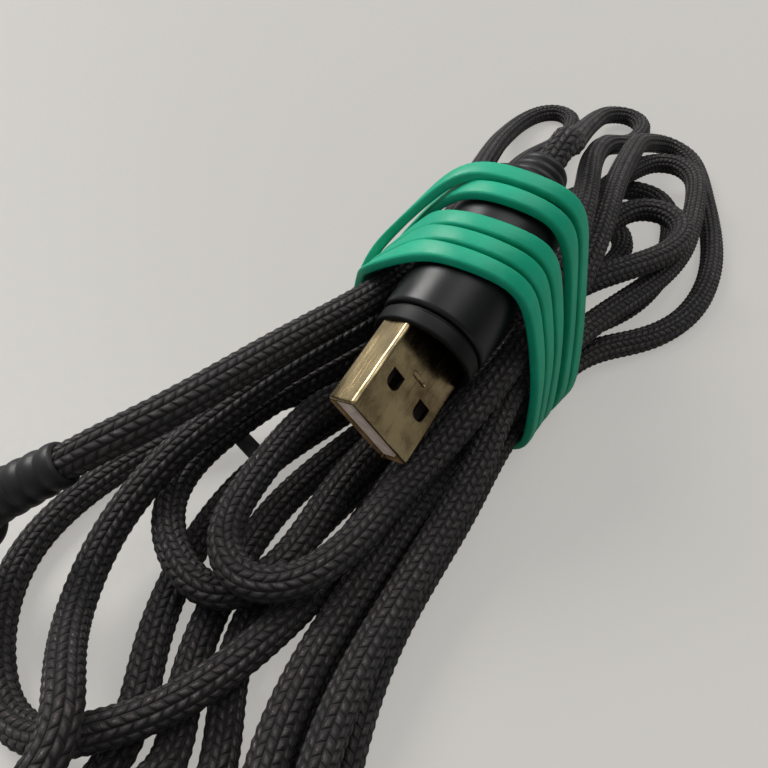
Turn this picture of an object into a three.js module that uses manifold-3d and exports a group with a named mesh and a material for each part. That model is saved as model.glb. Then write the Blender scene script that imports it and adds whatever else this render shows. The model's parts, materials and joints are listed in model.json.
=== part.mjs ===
// A braided charging cable with a USB-A plug and a micro-B plug, folded into a hank and held by
// a rubber band wound five times round its waist. Millimetres, +Z up, standing on the plane z = 0.
import * as THREE from 'three';
import { mergeVertices } from 'three/addons/utils/BufferGeometryUtils.js';
import Module from 'manifold-3d';

const wasm = await Module();
wasm.setup();

// ---------------------------------------------------------------- driving dimensions

// the cord
const cordDiameter = 4.0;
const cordSides = 6;
const ringReach = 16; // longest straight step between two rings of the cord
const ringTurn = 18; // most that the cord turns between two rings, in degrees
const floorCut = cordDiameter / 10; // a lying cord is flattened this deep underneath
const innerCableDiameter = 2.8; // the jacketed core inside the braid

// clearances
const seam = 0.3; // between pieces that meet end to end
const fit = 0.2; // round a piece that sits in another
const snug = 0.12; // round the thin metal parts inside a plug

// where the two plugs lie: the middle of the mouth, and the way from the mouth to the cord
const usbPose = { tip: [-32, -1.4, 18], yaw: -3.3, pitch: 19.8, roll: 66.5 };
const microPose = { cordEnd: [-54.8, 23, 20], yaw: -51.4, pitch: 28.3, roll: 0 };

// the USB-A plug
const usb = {
  name: 'usb_a',
  shellWidth: 12.0,
  shellHeight: 4.5,
  shellWall: 0.3,
  shellCorner: 0.6,
  exposed: 11.75, // bare length of the shell
  shellInsert: 2.0, // length of the shell inside the housing
  collarRim: 0.7, // what the collar has beside the shell's narrow sides
  collarLength: 2.2,
  housingStep: 0.3, // how far the housing stands out past the collar
  housingLength: 23.6,
  housingWall: 1.3,
  endWall: 2.4,
  bootLength: 6.2,
  bootRoot: 9.6, // diameter of the boot at the housing
  bootEnd: 6.6, // diameter of the boot at the cord
  ribs: 3,
  ribRise: 0.45,
  ferruleLength: 4.5,
  wireDiameter: 1.0,
  wirePlaces: [-3.5, -1.2, 1.2, 3.5], // sideways places of the wires at the contacts
};
const usbWindow = { length: 2.2, width: 2.3, fromMouth: 5.8, spacing: 5.9 };
const usbDimple = { length: 1.3, width: 2.7, depth: 0.15, fromMouth: 8.4 };
const usbTongue = { thickness: 1.9, setback: 0.5, mouthDepth: 9.0 };
const usbContact = { width: 1.0, thickness: 0.3, outerSetback: 0.9, innerSetback: 1.9 };

// the micro-B plug
const micro = {
  name: 'micro',
  shellWidth: 6.85,
  shellHeight: 1.8,
  shellWall: 0.25,
  shellCorner: 0.3,
  exposed: 6.6,
  shellInsert: 2.0,
  collarRim: 1.1,
  collarLength: 1.8,
  housingStep: 0.3,
  housingLength: 19.0,
  housingWall: 1.1,
  endWall: 2.4,
  bootLength: 10.6,
  bootRoot: 6.4,
  bootEnd: 5.6,
  ribs: 4,
  ribRise: 0.3,
  ferruleLength: 4.0,
  wireDiameter: 0.5,
  wirePlaces: [-1.3, -0.65, 0, 1.3],
};
const microBevel = { width: 0.75, height: 0.8 }; // the cut corners on the keyed side
const microTongue = { width: 4.2, thickness: 0.5, setback: 0.3 };
const microContact = { count: 5, pitch: 0.65, width: 0.35, thickness: 0.15, setback: 0.5 };
const latch = {
  place: 2.55, // sideways place of each latch arm
  width: 0.5,
  thickness: 0.25,
  drop: 0.2, // free depth between the arm and the shell wall above it
  hinge: 5.9, // station of the bending root, from the mouth
  tail: 0.3, // what the arm has behind its root
  tip: 1.8, // station of the hook's front end
  hookLength: 1.3,
  hookRise: 0.32, // how far the hook stands above the shell
};

// the rubber band
const bandWidth = 2.0;
const bandThickness = 1.0;
const bandFit = 0.3; // between the band and what it holds
const bandStations = 32; // in one turn
const bandPitch = 2.4; // between turns that lie side by side
const bandHump = bandThickness + 0.6; // lift of the last turn where it crosses the others
const bandCross = { start: 0.54, end: 0.84 }; // where in its turn it crosses
// places along the hank, from the waist, of the five turns underneath and over the top
const bandUnder = [0, 1, 2, 3, 4].map((turn) => -8.6 + turn * bandPitch);
const bandOver = [-15.0, -12.6, -10.2, -5.1, -2.4];

// the cut end of a flat wire tie that lies among the cords
const tie = { width: 2.4, thickness: 0.8 };
const tieLine = [[-30, 22, 4.9], [-31.2, 18.5, 4.8], [-32.4, 14.5, 4.7], [-33.6, 10.5, 4.5], [-34.6, 6.8, 4.4]];

// The cord's route from the USB-A boot to the micro-B boot, as the guide points of one smooth
// curve. Its x runs along the hank from the waist, its y across, and z is above the floor.
const route = [
  // down from the boot and round the top far loop
  [[22, -2.9, 32.2], [29, -1, 28.4], [37, 1.2, 25], [47, 3.6, 21.4], [58, 6, 17.8], [69, 8.4, 14],
    [80, 10.6, 10.4], [90, 12.6, 7], [98, 13.8, 4.6], [104.6, 13.4, 3], [108, 9.4, 2.3],
    [105.4, 4.8, 1.9], [98, 3.4, 2.1], [89, 3.6, 3.6], [79, 4, 7.4], [68, 3.4, 12],
    [56, 1.8, 16], [43, -0.6, 19.4], [28, -5, 22.2], [13, -8.8, 22.8], [0, -10.4, 19.8],
    [-13, -10, 17.2]],
  // the small near loop beside the plug
  [[-20, -8.8, 15], [-26, -7.2, 12.2], [-32, -5.8, 10.9], [-38, -5.4, 10.8], [-45, -4.7, 10.7],
    [-50.6, -1.4, 10.7], [-51.4, 4.2, 10.6], [-47, 8.8, 10.6], [-40, 10.2, 10.6],
    [-30, 11, 10.6], [-23, 10.6, 10.4], [-13, 5.6, 8.9], [0, 3.4, 8.2], [13, 3.2, 9]],
  // the second far loop on the right
  [[26, 2, 10.8], [40, 0.2, 11], [52, -1.2, 9.8], [63, -1.6, 8], [70.6, -2.2, 6.4], [77, -4, 6.1],
    [79.6, -9, 6.1], [76, -14, 6.1], [68, -16.4, 6.1], [58, -18, 6.1], [47, -19.6, 6.1],
    [36, -18.8, 6.3], [25, -16.4, 7.4], [13, -13, 8.2], [0, -10.8, 8.2], [-13, -9.8, 7.9]],
  // a near loop in the upper layer
  [[-22, -7.4, 6.7], [-32, -6.6, 6.2], [-42, -6.9, 6.1], [-52, -7.1, 6.1], [-62, -8.9, 6.1],
    [-71, -12.8, 6.1], [-80, -15.6, 6.1], [-87.2, -12.8, 6.1], [-90, -7, 6.1], [-87, -1, 6.1],
    [-80, 1, 6.1], [-73, 0, 4.8], [-68, -1, 2], [-63, 2.6, 1.6], [-56, 6.4, 1.6], [-46, 9.2, 1.6],
    [-36, 10.6, 1.6], [-24, 8.6, 1.8], [-13, 4.8, 3.6], [0, 3.4, 3.6], [13, 3.4, 3.6]],
  // the innermost far loop, on the floor
  [[26, 4.6, 1.8], [38, 6.2, 1.6], [48, 6.2, 1.6], [55.4, 3.6, 1.6], [56.6, -3.6, 1.6],
    [50.6, -8.6, 1.6], [42, -9, 1.6], [32, -6, 1.6], [23, -3, 1.9], [13, -1.5, 3.5],
    [0, -1.3, 3.6], [-13, -0.3, 3.6]],
  // a near loop on the floor
  [[-24, 2.4, 1.8], [-36, 4.6, 1.6], [-47, 4.2, 1.6], [-56, 1.6, 1.6], [-62, -2.6, 1.6],
    [-68, -6.2, 1.6], [-74, -5.6, 1.6], [-80, -1, 1.6], [-87, -1.6, 1.6], [-90.2, -7.4, 1.6],
    [-87.4, -13.4, 1.6], [-80, -15.6, 1.6], [-71, -13, 1.6], [-62, -9.4, 1.6], [-52, -6.8, 1.6],
    [-40, -6.4, 1.6], [-24, -6.4, 1.8], [-13, -5.4, 3.6], [0, -6, 3.6], [13, -7, 3.5]],
  // the third far loop on the right, rising to the left
  [[24, -13, 1.9], [34, -16.6, 1.6], [45, -17.4, 1.6], [56, -15.6, 1.6], [66, -13, 1.6],
    [72.4, -8, 1.6], [71.4, -1.6, 1.9], [65.4, 2, 3.4], [58, 3.2, 5.8], [49, 3.9, 8],
    [38, 5.4, 10.2], [26, 6.8, 12.1], [13, 7.8, 12.6], [0, 8.2, 12.7], [-13, 9.8, 12.8]],
  // the short near loop on the left
  [[-22, 15.4, 10.8], [-32, 21, 7], [-40.5, 21.8, 6.1], [-47, 18.6, 6.1], [-51.4, 12.6, 6.1],
    [-52.8, 6.6, 6.1], [-49, 2.6, 6.1], [-42.4, 1.8, 6.1], [-34.4, 3, 6.2], [-25, 3, 6.5],
    [-13, -0.3, 8.2], [0, -1.3, 8.4], [13, -2, 12]],
  // the short far loop that lies on top
  [[24, -5.2, 12.8], [34, -6.2, 11.2], [41, -6.8, 10.9], [47.4, -9, 10.8], [49.2, -13.6, 10.7],
    [46.6, -18.2, 10.7], [40.6, -19.6, 10.8], [33, -18, 11.1], [23.6, -13.2, 12.2],
    [13, -7.6, 12.8], [0, -6, 8.8], [-13, -4.9, 8.2]],
  // the wide near loop on the left, which reaches furthest across
  [[-22, -2.8, 6.6], [-31, -1.6, 3.6], [-39, -1.8, 2.6], [-46.4, -2.8, 5.5], [-53, -2, 6.1],
    [-60, -0.4, 6.3], [-66, 2.4, 6.5], [-70.2, 6.2, 6.5], [-72.8, 11, 3.8], [-73, 17, 1.7],
    [-70, 23, 1.6], [-64.6, 29, 1.6], [-57, 33.4, 1.6], [-47, 34, 1.8], [-36, 30, 3.2],
    [-24, 20.8, 6], [-13, 10.4, 7.9], [0, 8.2, 8.2], [13, 8.4, 8]],
  // the low far loop on the left
  [[28, 8.4, 6.9], [41, 7.9, 6.2], [52, 8.4, 5], [60.8, 9.8, 2.8], [65, 14.8, 1.6],
    [61.6, 20.6, 1.6], [54, 22.8, 1.6], [46, 21.4, 1.6], [37, 17.8, 1.6], [25, 12.6, 1.9],
    [13, 9, 3.6], [0, 8.2, 3.6], [-13, 9.8, 3.5]],
  // the long near loop on the floor
  [[-22, 14, 1.9], [-32, 16.8, 1.6], [-42, 16.4, 1.6], [-52, 14, 1.6], [-60, 10, 1.6],
    [-66, 5.8, 1.6], [-73, 4.2, 1.6], [-80, 6, 1.6], [-88.6, 4.4, 1.6], [-94.6, -2, 1.6],
    [-94.8, -12, 1.6], [-89, -19.6, 1.6], [-79, -21.2, 1.6], [-69, -18.6, 1.6], [-59, -15, 1.6],
    [-48, -11.8, 1.6], [-36, -11, 1.6], [-24, -11, 1.8], [-13, -10, 3.5], [0, -10.8, 3.6],
    [13, -13.2, 3.5]],
  // the outermost far loop on the right
  [[21, -19.4, 1.8], [29, -24, 1.6], [40, -25.8, 1.6], [53, -24.4, 1.6], [66, -20.6, 1.6],
    [77, -16.6, 1.6], [86.6, -13.2, 1.6], [93.4, -9.2, 2], [94, -3.4, 3.4], [88, -0.7, 5.4],
    [79, -0.6, 8.9], [70, -2, 12.3], [60, -3.4, 14.6], [48, -5, 16.6], [36, -7, 18],
    [24, -9.4, 18.4], [13, -10.8, 17], [0, -10.8, 14.1], [-13, -10, 12.5]],
  // the long near loop in the upper layer
  [[-22, -12, 10.1], [-32, -11.6, 7.4], [-43, -11.6, 6.1], [-53, -12.1, 6.1], [-63, -14.2, 6.1],
    [-71, -18, 6.1], [-79, -21, 6.1], [-89, -19.6, 6.1], [-94.8, -12, 6.1], [-94.6, -2, 6.1],
    [-88.6, 4.4, 6.4], [-80, 6, 8.6], [-73.6, 5, 11], [-70, 8.2, 11.2], [-66.4, 13.2, 8.8],
    [-61, 18.4, 6.2], [-53, 21.8, 7.4], [-44, 21.2, 11], [-34, 18, 14], [-23.6, 13.8, 16.6],
    [-13, 8.6, 17.9], [0, 8.3, 17.5], [13, 8.7, 17.2]],
  // the far loop on the left
  [[28, 11.4, 15.2], [42, 14.4, 12.2], [57, 17, 9], [71, 18.2, 5.2], [84, 18.2, 2.2],
    [93.4, 18.8, 1.6], [100.4, 21, 1.6], [102.6, 25.6, 1.6], [99, 30, 1.6], [90, 31.4, 1.8],
    [77, 29, 4.6], [63, 25.2, 9], [47, 20.2, 14], [28, 14.4, 19], [13, 9.4, 21.6], [0, 8, 22.4],
    [-13, 7.6, 23.2]],
  // out to the micro-B plug
  [[-22, 9.4, 23.8], [-31, 11.6, 24.2], [-39, 13.4, 24.3], [-45.5, 15, 24.4]],
];

// ---------------------------------------------------------------- materials

const finish = {
  cord: new THREE.MeshStandardMaterial({ color: 0x2b2a2c, roughness: 0.85, metalness: 0 }),
  satinPlastic: new THREE.MeshStandardMaterial({ color: 0x17171a, roughness: 0.45, metalness: 0 }),
  glossPlastic: new THREE.MeshStandardMaterial({ color: 0x121214, roughness: 0.2, metalness: 0 }),
  boot: new THREE.MeshStandardMaterial({ color: 0x1d1d20, roughness: 0.6, metalness: 0 }),
  gold: new THREE.MeshStandardMaterial({ color: 0xb49a5c, roughness: 0.3, metalness: 1 }),
  insert: new THREE.MeshStandardMaterial({ color: 0xd8d4cf, roughness: 0.5, metalness: 0 }),
  steel: new THREE.MeshStandardMaterial({ color: 0x9a9ca0, roughness: 0.35, metalness: 1 }),
  jacket: new THREE.MeshStandardMaterial({ color: 0x303033, roughness: 0.7, metalness: 0 }),
  rubber: new THREE.MeshStandardMaterial({ color: 0x16a27c, roughness: 0.55, metalness: 0 }),
  tie: new THREE.MeshStandardMaterial({ color: 0x4a4b4a, roughness: 0.6, metalness: 0 }),
};
const wireColours = { red: 0xb3261e, white: 0xe6e4df, green: 0x2c7a3f, black: 0x1a1a1a };

// ---------------------------------------------------------------- geometry helpers

// A closed mesh as a solid, with its faces turned outwards.
function solidOf(geometry) {
  const bare = geometry.index ? geometry.clone() : geometry;
  bare.deleteAttribute('normal');
  bare.deleteAttribute('uv');
  const merged = mergeVertices(bare, 1e-5);
  const vertProperties = new Float32Array(merged.attributes.position.array);
  const triVerts = new Uint32Array(merged.index.array);
  let signedVolume = 0;
  const corner = (i) => new THREE.Vector3().fromArray(vertProperties, 3 * triVerts[i]);
  for (let i = 0; i < triVerts.length; i += 3) {
    signedVolume += corner(i).dot(corner(i + 1).cross(corner(i + 2)));
  }
  if (signedVolume < 0) {
    for (let i = 0; i < triVerts.length; i += 3) {
      [triVerts[i], triVerts[i + 1]] = [triVerts[i + 1], triVerts[i]];
    }
  }
  return new wasm.Manifold(new wasm.Mesh({ numProp: 3, vertProperties, triVerts }));
}

// A named mesh of a solid or of a closed geometry.
function piece(name, shape, material) {
  const solid = shape.isBufferGeometry ? solidOf(shape) : shape;
  const { vertProperties, triVerts } = solid.getMesh();
  const geometry = new THREE.BufferGeometry();
  geometry.setAttribute('position', new THREE.BufferAttribute(vertProperties, 3));
  geometry.setIndex(new THREE.BufferAttribute(triVerts, 1));
  geometry.computeVertexNormals();
  const mesh = new THREE.Mesh(geometry, material);
  mesh.name = name;
  return mesh;
}

// A box between two stations along x, with its middle and size across.
function block(x0, x1, y, width, z, height) {
  const geometry = new THREE.BoxGeometry(x1 - x0, width, height);
  geometry.translate((x0 + x1) / 2, y, z);
  return solidOf(geometry);
}

// A body turned about the x axis from a profile of [station, radius] points.
function turned(profile, segments = 32) {
  const geometry = new THREE.LatheGeometry(profile.map(([x, r]) => new THREE.Vector2(r, x)), segments);
  geometry.rotateZ(-Math.PI / 2);
  return geometry;
}

// An outline in y and z, drawn out along x between two stations.
function drawnOut(shape, x0, x1, curveSegments = 4) {
  const geometry = new THREE.ExtrudeGeometry(shape, {
    depth: x1 - x0, steps: 1, bevelEnabled: false, curveSegments,
  });
  geometry.applyMatrix4(new THREE.Matrix4().makeBasis(
    new THREE.Vector3(0, 1, 0), new THREE.Vector3(0, 0, 1), new THREE.Vector3(1, 0, 0)));
  geometry.translate(x0, 0, 0);
  return geometry;
}

// A polygon whose corners are rounded with one radius.
function roundedOutline(corners, radius, Kind = THREE.Shape) {
  const outline = new Kind();
  const count = corners.length;
  const point = ([x, y]) => new THREE.Vector2(x, y);
  for (let i = 0; i < count; i++) {
    const here = point(corners[i]);
    const before = point(corners[(i + count - 1) % count]).sub(here).normalize();
    const after = point(corners[(i + 1) % count]).sub(here).normalize();
    const trim = radius / Math.tan(Math.acos(before.dot(after)) / 2);
    const start = here.clone().addScaledVector(before, trim);
    const end = here.clone().addScaledVector(after, trim);
    if (i === 0) outline.moveTo(start.x, start.y);
    else outline.lineTo(start.x, start.y);
    outline.quadraticCurveTo(here.x, here.y, end.x, end.y);
  }
  outline.closePath();
  return outline;
}

function rectangle(width, height, inset = 0) {
  const y = width / 2 - inset;
  const z = height / 2 - inset;
  return [[-y, -z], [y, -z], [y, z], [-y, z]];
}

// A tube through a row of rings that all have as many points, with its ends capped or joined.
function tubeThrough(rings, joined = false) {
  const sides = rings[0].length;
  const count = rings.length;
  const positions = rings.flat().flatMap((p) => [p.x, p.y, p.z]);
  const index = [];
  const last = joined ? count : count - 1;
  for (let i = 0; i < last; i++) {
    for (let k = 0; k < sides; k++) {
      const a = i * sides + k;
      const b = i * sides + (k + 1) % sides;
      const c = ((i + 1) % count) * sides + (k + 1) % sides;
      const d = ((i + 1) % count) * sides + k;
      index.push(a, b, c, a, c, d);
    }
  }
  if (!joined) {
    for (let k = 1; k < sides - 1; k++) {
      index.push(0, k + 1, k);
      const base = (count - 1) * sides;
      index.push(base, base + k, base + k + 1);
    }
  }
  const geometry = new THREE.BufferGeometry();
  geometry.setAttribute('position', new THREE.Float32BufferAttribute(positions, 3));
  geometry.setIndex(index);
  return geometry;
}

const vector = ([x, y, z]) => new THREE.Vector3(x, y, z);
const radians = THREE.MathUtils.degToRad;

// ---------------------------------------------------------------- the plugs' shared build

// Stations along a plug, from its mouth to the end of its boot.
function stationsOf(p) {
  const collar = p.exposed;
  const housing = collar + p.collarLength + seam;
  const shellEnd = housing + p.shellInsert;
  const bore = housing + p.endWall;
  const boot = housing + p.housingLength + seam;
  const end = boot + p.bootLength;
  return { collar, housing, shellEnd, bore, boreEnd: boot - seam - p.endWall, boot, end };
}

function collarRadius(p) {
  return p.shellWidth / 2 + p.collarRim;
}

function housingRadius(p) {
  return collarRadius(p) + p.housingStep;
}

function slotOutline(p, Kind) {
  return roundedOutline(rectangle(p.shellWidth, p.shellHeight, -fit), p.shellCorner + fit, Kind);
}

function collarOf(p, at) {
  const radius = collarRadius(p);
  const nose = 0.5; // rounding of the front edge
  const x1 = at.collar + p.collarLength;
  const disc = turned([[at.collar, 0], [at.collar, radius - nose], [at.collar + 0.15, radius - 0.2],
    [at.collar + nose, radius], [x1, radius], [x1, 0]], 40);
  return solidOf(disc).subtract(solidOf(drawnOut(slotOutline(p), at.collar - 1, x1 + 1)));
}

function housingOf(p, at) {
  const radius = housingRadius(p);
  const edge = 0.35; // chamfer of both ends
  const x0 = at.housing;
  const x1 = x0 + p.housingLength;
  const boreRadius = radius - p.housingWall;
  const cableRadius = innerCableDiameter / 2 + fit;
  const body = solidOf(turned([[x0, 0], [x0, radius - edge], [x0 + edge, radius], [x1 - edge, radius],
    [x1, radius - edge], [x1, cableRadius], [at.boreEnd, cableRadius], [at.boreEnd, boreRadius],
    [at.bore, boreRadius], [at.bore, 0]], 40));
  return body.subtract(solidOf(drawnOut(slotOutline(p), x0 - 1, at.bore + 1)));
}

// The boot: a sleeve that narrows to the cord, with rounded ribs round it.
function bootOf(p, at) {
  const bore = innerCableDiameter / 2 + fit;
  const flange = 1.6;
  const ribPitch = (p.bootLength - flange) / p.ribs;
  const profile = [[at.boot, bore], [at.boot, p.bootRoot / 2], [at.boot + flange - 0.5, p.bootRoot / 2]];
  for (let rib = 0; rib < p.ribs; rib++) {
    for (const [along, rise] of [[0, 0], [0.2, 0.75], [0.5, 1], [0.8, 0.75]]) {
      const x = at.boot + flange + (rib + along) * ribPitch;
      const taper = (x - at.boot - flange) / (p.bootLength - flange);
      const neck = THREE.MathUtils.lerp(p.bootRoot, p.bootEnd, 0.25 + 0.75 * taper) / 2;
      profile.push([x, neck - p.ribRise + rise * p.ribRise]);
    }
  }
  profile.push([at.end, p.bootEnd / 2 - p.ribRise], [at.end, bore], [at.boot, bore]);
  return turned(profile, 24);
}

// The jacketed core that runs from the cord through the boot into the housing.
function innerCableOf(p, at) {
  const radius = innerCableDiameter / 2;
  const x0 = at.boreEnd - p.ferruleLength;
  return turned([[x0, 0], [x0, radius], [at.end, radius], [at.end, 0]], 12);
}

function ferruleOf(p, at) {
  const inner = innerCableDiameter / 2 + snug;
  const outer = inner + 0.5;
  const x1 = at.boreEnd - seam;
  const x0 = x1 - p.ferruleLength + 1;
  return turned([[x0, inner], [x0, outer], [x1, outer], [x1, inner], [x0, inner]], 16);
}

// The four cores, spread from the cable's middle to their contacts.
function wiresOf(p, at, tails) {
  const section = new THREE.Shape().absarc(0, 0, p.wireDiameter / 2, 0, 2 * Math.PI);
  const x0 = tails + seam;
  const x1 = at.boreEnd - p.ferruleLength - seam;
  const g = 0.66 * p.wireDiameter;
  const gathered = [[-g, -g], [-g, g], [g, g], [g, -g]];
  return Object.entries(wireColours).map(([colour, hex], i) => {
    const y = p.wirePlaces[i];
    const [yEnd, zEnd] = gathered[i];
    const line = new THREE.CatmullRomCurve3([[x0, y, 0], [x0 + 1.5, y, 0],
      [(x0 + x1) / 2, (y + yEnd) / 2, zEnd], [x1 - 1.5, yEnd, zEnd], [x1, yEnd, zEnd]].map(vector));
    const geometry = new THREE.ExtrudeGeometry(section, { steps: 10, curveSegments: 3, extrudePath: line });
    const material = new THREE.MeshStandardMaterial({ color: hex, roughness: 0.5, metalness: 0 });
    return piece(`${p.name}_wire_${colour}`, geometry, material);
  });
}

function plugBody(p, at, tails) {
  return [
    piece(`${p.name}_collar`, collarOf(p, at), finish.glossPlastic),
    piece(`${p.name}_housing`, housingOf(p, at), finish.satinPlastic),
    piece(`${p.name}_boot`, bootOf(p, at), finish.boot),
    piece(`${p.name}_inner_cable`, innerCableOf(p, at), finish.jacket),
    piece(`${p.name}_crimp_ferrule`, ferruleOf(p, at), finish.steel),
    ...wiresOf(p, at, tails),
  ];
}

// ---------------------------------------------------------------- the USB-A plug's mouth

function usbShell(at) {
  const outer = roundedOutline(rectangle(usb.shellWidth, usb.shellHeight), usb.shellCorner);
  const inner = rectangle(usb.shellWidth, usb.shellHeight, usb.shellWall);
  outer.holes.push(roundedOutline(inner, usb.shellCorner - usb.shellWall / 2, THREE.Path));
  let shell = solidOf(drawnOut(outer, 0, at.shellEnd));
  for (const side of [-1, 1]) {
    shell = shell.subtract(block(usbWindow.fromMouth - usbWindow.length / 2,
      usbWindow.fromMouth + usbWindow.length / 2, (side * usbWindow.spacing) / 2, usbWindow.width,
      0, usb.shellHeight + 1));
    shell = shell.subtract(block(usbDimple.fromMouth - usbDimple.length / 2,
      usbDimple.fromMouth + usbDimple.length / 2, 0, usbDimple.width,
      (side * usb.shellHeight) / 2, 2 * usbDimple.depth));
  }
  return shell;
}

// places of the four contacts across the tongue
const contactPlaces = [-3.5, -1, 1, 3.5];

// The tongue carries the contacts in grooves, and its root fills the shell.
function usbTongueSolid(at) {
  const width = usb.shellWidth - 2 * (usb.shellWall + fit);
  const height = usb.shellHeight - 2 * (usb.shellWall + fit);
  const blade = block(usbTongue.setback, usbTongue.mouthDepth + 0.01, 0, width,
    (usbTongue.thickness - height) / 2, usbTongue.thickness);
  const root = block(usbTongue.mouthDepth, at.shellEnd, 0, width, 0, height);
  let tongue = blade.add(root);
  const top = -height / 2 + usbTongue.thickness;
  contactPlaces.forEach((y, i) => {
    tongue = tongue.subtract(block(contactFront(i) - snug, at.shellEnd + 1, y,
      usbContact.width + 2 * snug, top, 2 * (usbContact.thickness + snug)));
  });
  return tongue;
}

function contactFront(i) {
  const outer = i === 0 || i === contactPlaces.length - 1;
  return usbTongue.setback + (outer ? usbContact.outerSetback : usbContact.innerSetback);
}

function usbContacts(at, tails) {
  const height = usb.shellHeight - 2 * (usb.shellWall + fit);
  const z = -height / 2 + usbTongue.thickness - usbContact.thickness / 2;
  return contactPlaces.map((y, i) => piece(`usb_a_contact_${i + 1}`,
    block(contactFront(i), tails, y, usbContact.width, z, usbContact.thickness), finish.gold));
}

function usbPlug() {
  const at = stationsOf(usb);
  const tails = at.shellEnd + 1.5;
  const plug = new THREE.Group();
  plug.add(
    piece('usb_a_shell', usbShell(at), finish.gold),
    piece('usb_a_tongue', usbTongueSolid(at), finish.insert),
    ...usbContacts(at, tails),
    ...plugBody(usb, at, tails),
  );
  plug.position.fromArray(usbPose.tip);
  plug.rotation.copy(poseRotation(usbPose));
  return plug;
}

function poseRotation({ yaw, pitch, roll }) {
  return new THREE.Euler(radians(roll), radians(-pitch), radians(yaw), 'ZYX');
}

// ---------------------------------------------------------------- the micro-B plug's mouth

function microOutline(inset, radius, Kind) {
  const y = micro.shellWidth / 2 - inset;
  const z = micro.shellHeight / 2 - inset;
  const bevel = inset * 0.6; // keeps the wall even along the cut corners
  return roundedOutline([[y, z], [-y, z], [-y, -z + microBevel.height - bevel],
    [-y + microBevel.width - bevel, -z], [y - microBevel.width + bevel, -z],
    [y, -z + microBevel.height - bevel]], radius, Kind);
}

// The shell, with a slot over each latch hook on its wide side.
function microShell(at) {
  const outer = microOutline(0, micro.shellCorner);
  outer.holes.push(microOutline(micro.shellWall, micro.shellCorner / 2, THREE.Path));
  let shell = solidOf(drawnOut(outer, 0, at.shellEnd));
  for (const side of [-1, 1]) {
    shell = shell.subtract(block(latch.tip - fit, latch.tip + latch.hookLength + fit, side * latch.place,
      latch.width + 2 * fit, micro.shellHeight / 2, 2 * (micro.shellWall + 0.1)));
  }
  return shell;
}

function microTongueSolid(at) {
  const innerHeight = micro.shellHeight - 2 * micro.shellWall;
  const floor = -innerHeight / 2 + snug;
  const rootFront = latch.hinge + latch.tail + fit;
  const blade = block(microTongue.setback, rootFront + 0.01, 0, microTongue.width,
    floor + microTongue.thickness / 2, microTongue.thickness);
  const rootWidth = micro.shellWidth - 2 * (micro.shellWall + microBevel.width + snug);
  const root = block(rootFront, at.shellEnd, 0, rootWidth, 0, innerHeight - 2 * snug);
  let tongue = blade.add(root);
  for (const y of microPlaces()) {
    tongue = tongue.subtract(block(microContact.setback - snug, at.shellEnd + 1, y,
      microContact.width + 2 * 0.08, floor + microTongue.thickness, 2 * (microContact.thickness + 0.08)));
  }
  return tongue;
}

function microPlaces() {
  const middle = (microContact.count - 1) / 2;
  return Array.from({ length: microContact.count }, (_, i) => (i - middle) * microContact.pitch);
}

function microContacts(tails) {
  const z = -micro.shellHeight / 2 + micro.shellWall + snug + microTongue.thickness
    - microContact.thickness / 2;
  return microPlaces().map((y, i) => piece(`micro_contact_${i + 1}`,
    block(microContact.setback, tails, y, microContact.width, z, microContact.thickness), finish.gold));
}

// A latch: a spring arm inside the shell whose hook comes up through the slot.
function latchSolid(side) {
  const wallUnder = micro.shellHeight / 2 - micro.shellWall;
  const top = wallUnder - latch.drop;
  const hookTop = micro.shellHeight / 2 + latch.hookRise;
  const arm = block(latch.tip, latch.hinge + latch.tail, side * latch.place, latch.width,
    top - latch.thickness / 2, latch.thickness);
  // the hook slopes towards the mouth and is steep behind
  const hook = new THREE.Shape([[0, -0.05], [latch.hookLength, -0.05], [latch.hookLength, hookTop - top],
    [latch.hookLength * 0.6, hookTop - top], [0, 0.1]].map(([x, z]) => new THREE.Vector2(x, z)));
  const wedge = new THREE.ExtrudeGeometry(hook, { depth: latch.width, bevelEnabled: false });
  wedge.rotateX(Math.PI / 2);
  wedge.translate(latch.tip, side * latch.place + latch.width / 2, top);
  return arm.add(solidOf(wedge));
}

function microPlug() {
  const at = stationsOf(micro);
  const tails = at.shellEnd + 1;
  const plug = new THREE.Group();
  plug.add(
    piece('micro_shell', microShell(at), finish.gold),
    piece('micro_tongue', microTongueSolid(at), finish.jacket),
    piece('micro_latch_left', latchSolid(1), finish.steel),
    piece('micro_latch_right', latchSolid(-1), finish.steel),
    ...microContacts(tails),
    ...plugBody(micro, at, tails),
  );
  plug.rotation.copy(poseRotation(microPose));
  const back = axisOf(microPose).multiplyScalar(at.end + seam);
  plug.position.fromArray(microPose.cordEnd).sub(back);
  return plug;
}

// The way from a plug's mouth to its cord.
function axisOf(pose) {
  return new THREE.Vector3(1, 0, 0).applyEuler(poseRotation(pose));
}

// ---------------------------------------------------------------- the cord

// A uniform cubic B-spline through guide points, which starts and ends at the outer two.
class CordLine extends THREE.Curve {
  constructor(points) {
    super();
    this.points = points;
  }

  getPoint(t, target = new THREE.Vector3()) {
    const p = this.points;
    const spans = p.length - 1;
    const i = Math.min(Math.floor(t * spans), spans - 1);
    const f = t * spans - i;
    const beyond = (a, b) => a.clone().multiplyScalar(2).sub(b);
    const four = [i > 0 ? p[i - 1] : beyond(p[0], p[1]), p[i], p[i + 1],
      i + 2 <= spans ? p[i + 2] : beyond(p[spans], p[spans - 1])];
    const weights = [(1 - f) ** 3, 3 * f ** 3 - 6 * f ** 2 + 4, -3 * f ** 3 + 3 * f ** 2 + 3 * f + 1, f ** 3];
    target.set(0, 0, 0);
    four.forEach((q, k) => target.addScaledVector(q, weights[k] / 6));
    return target;
  }
}

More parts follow.
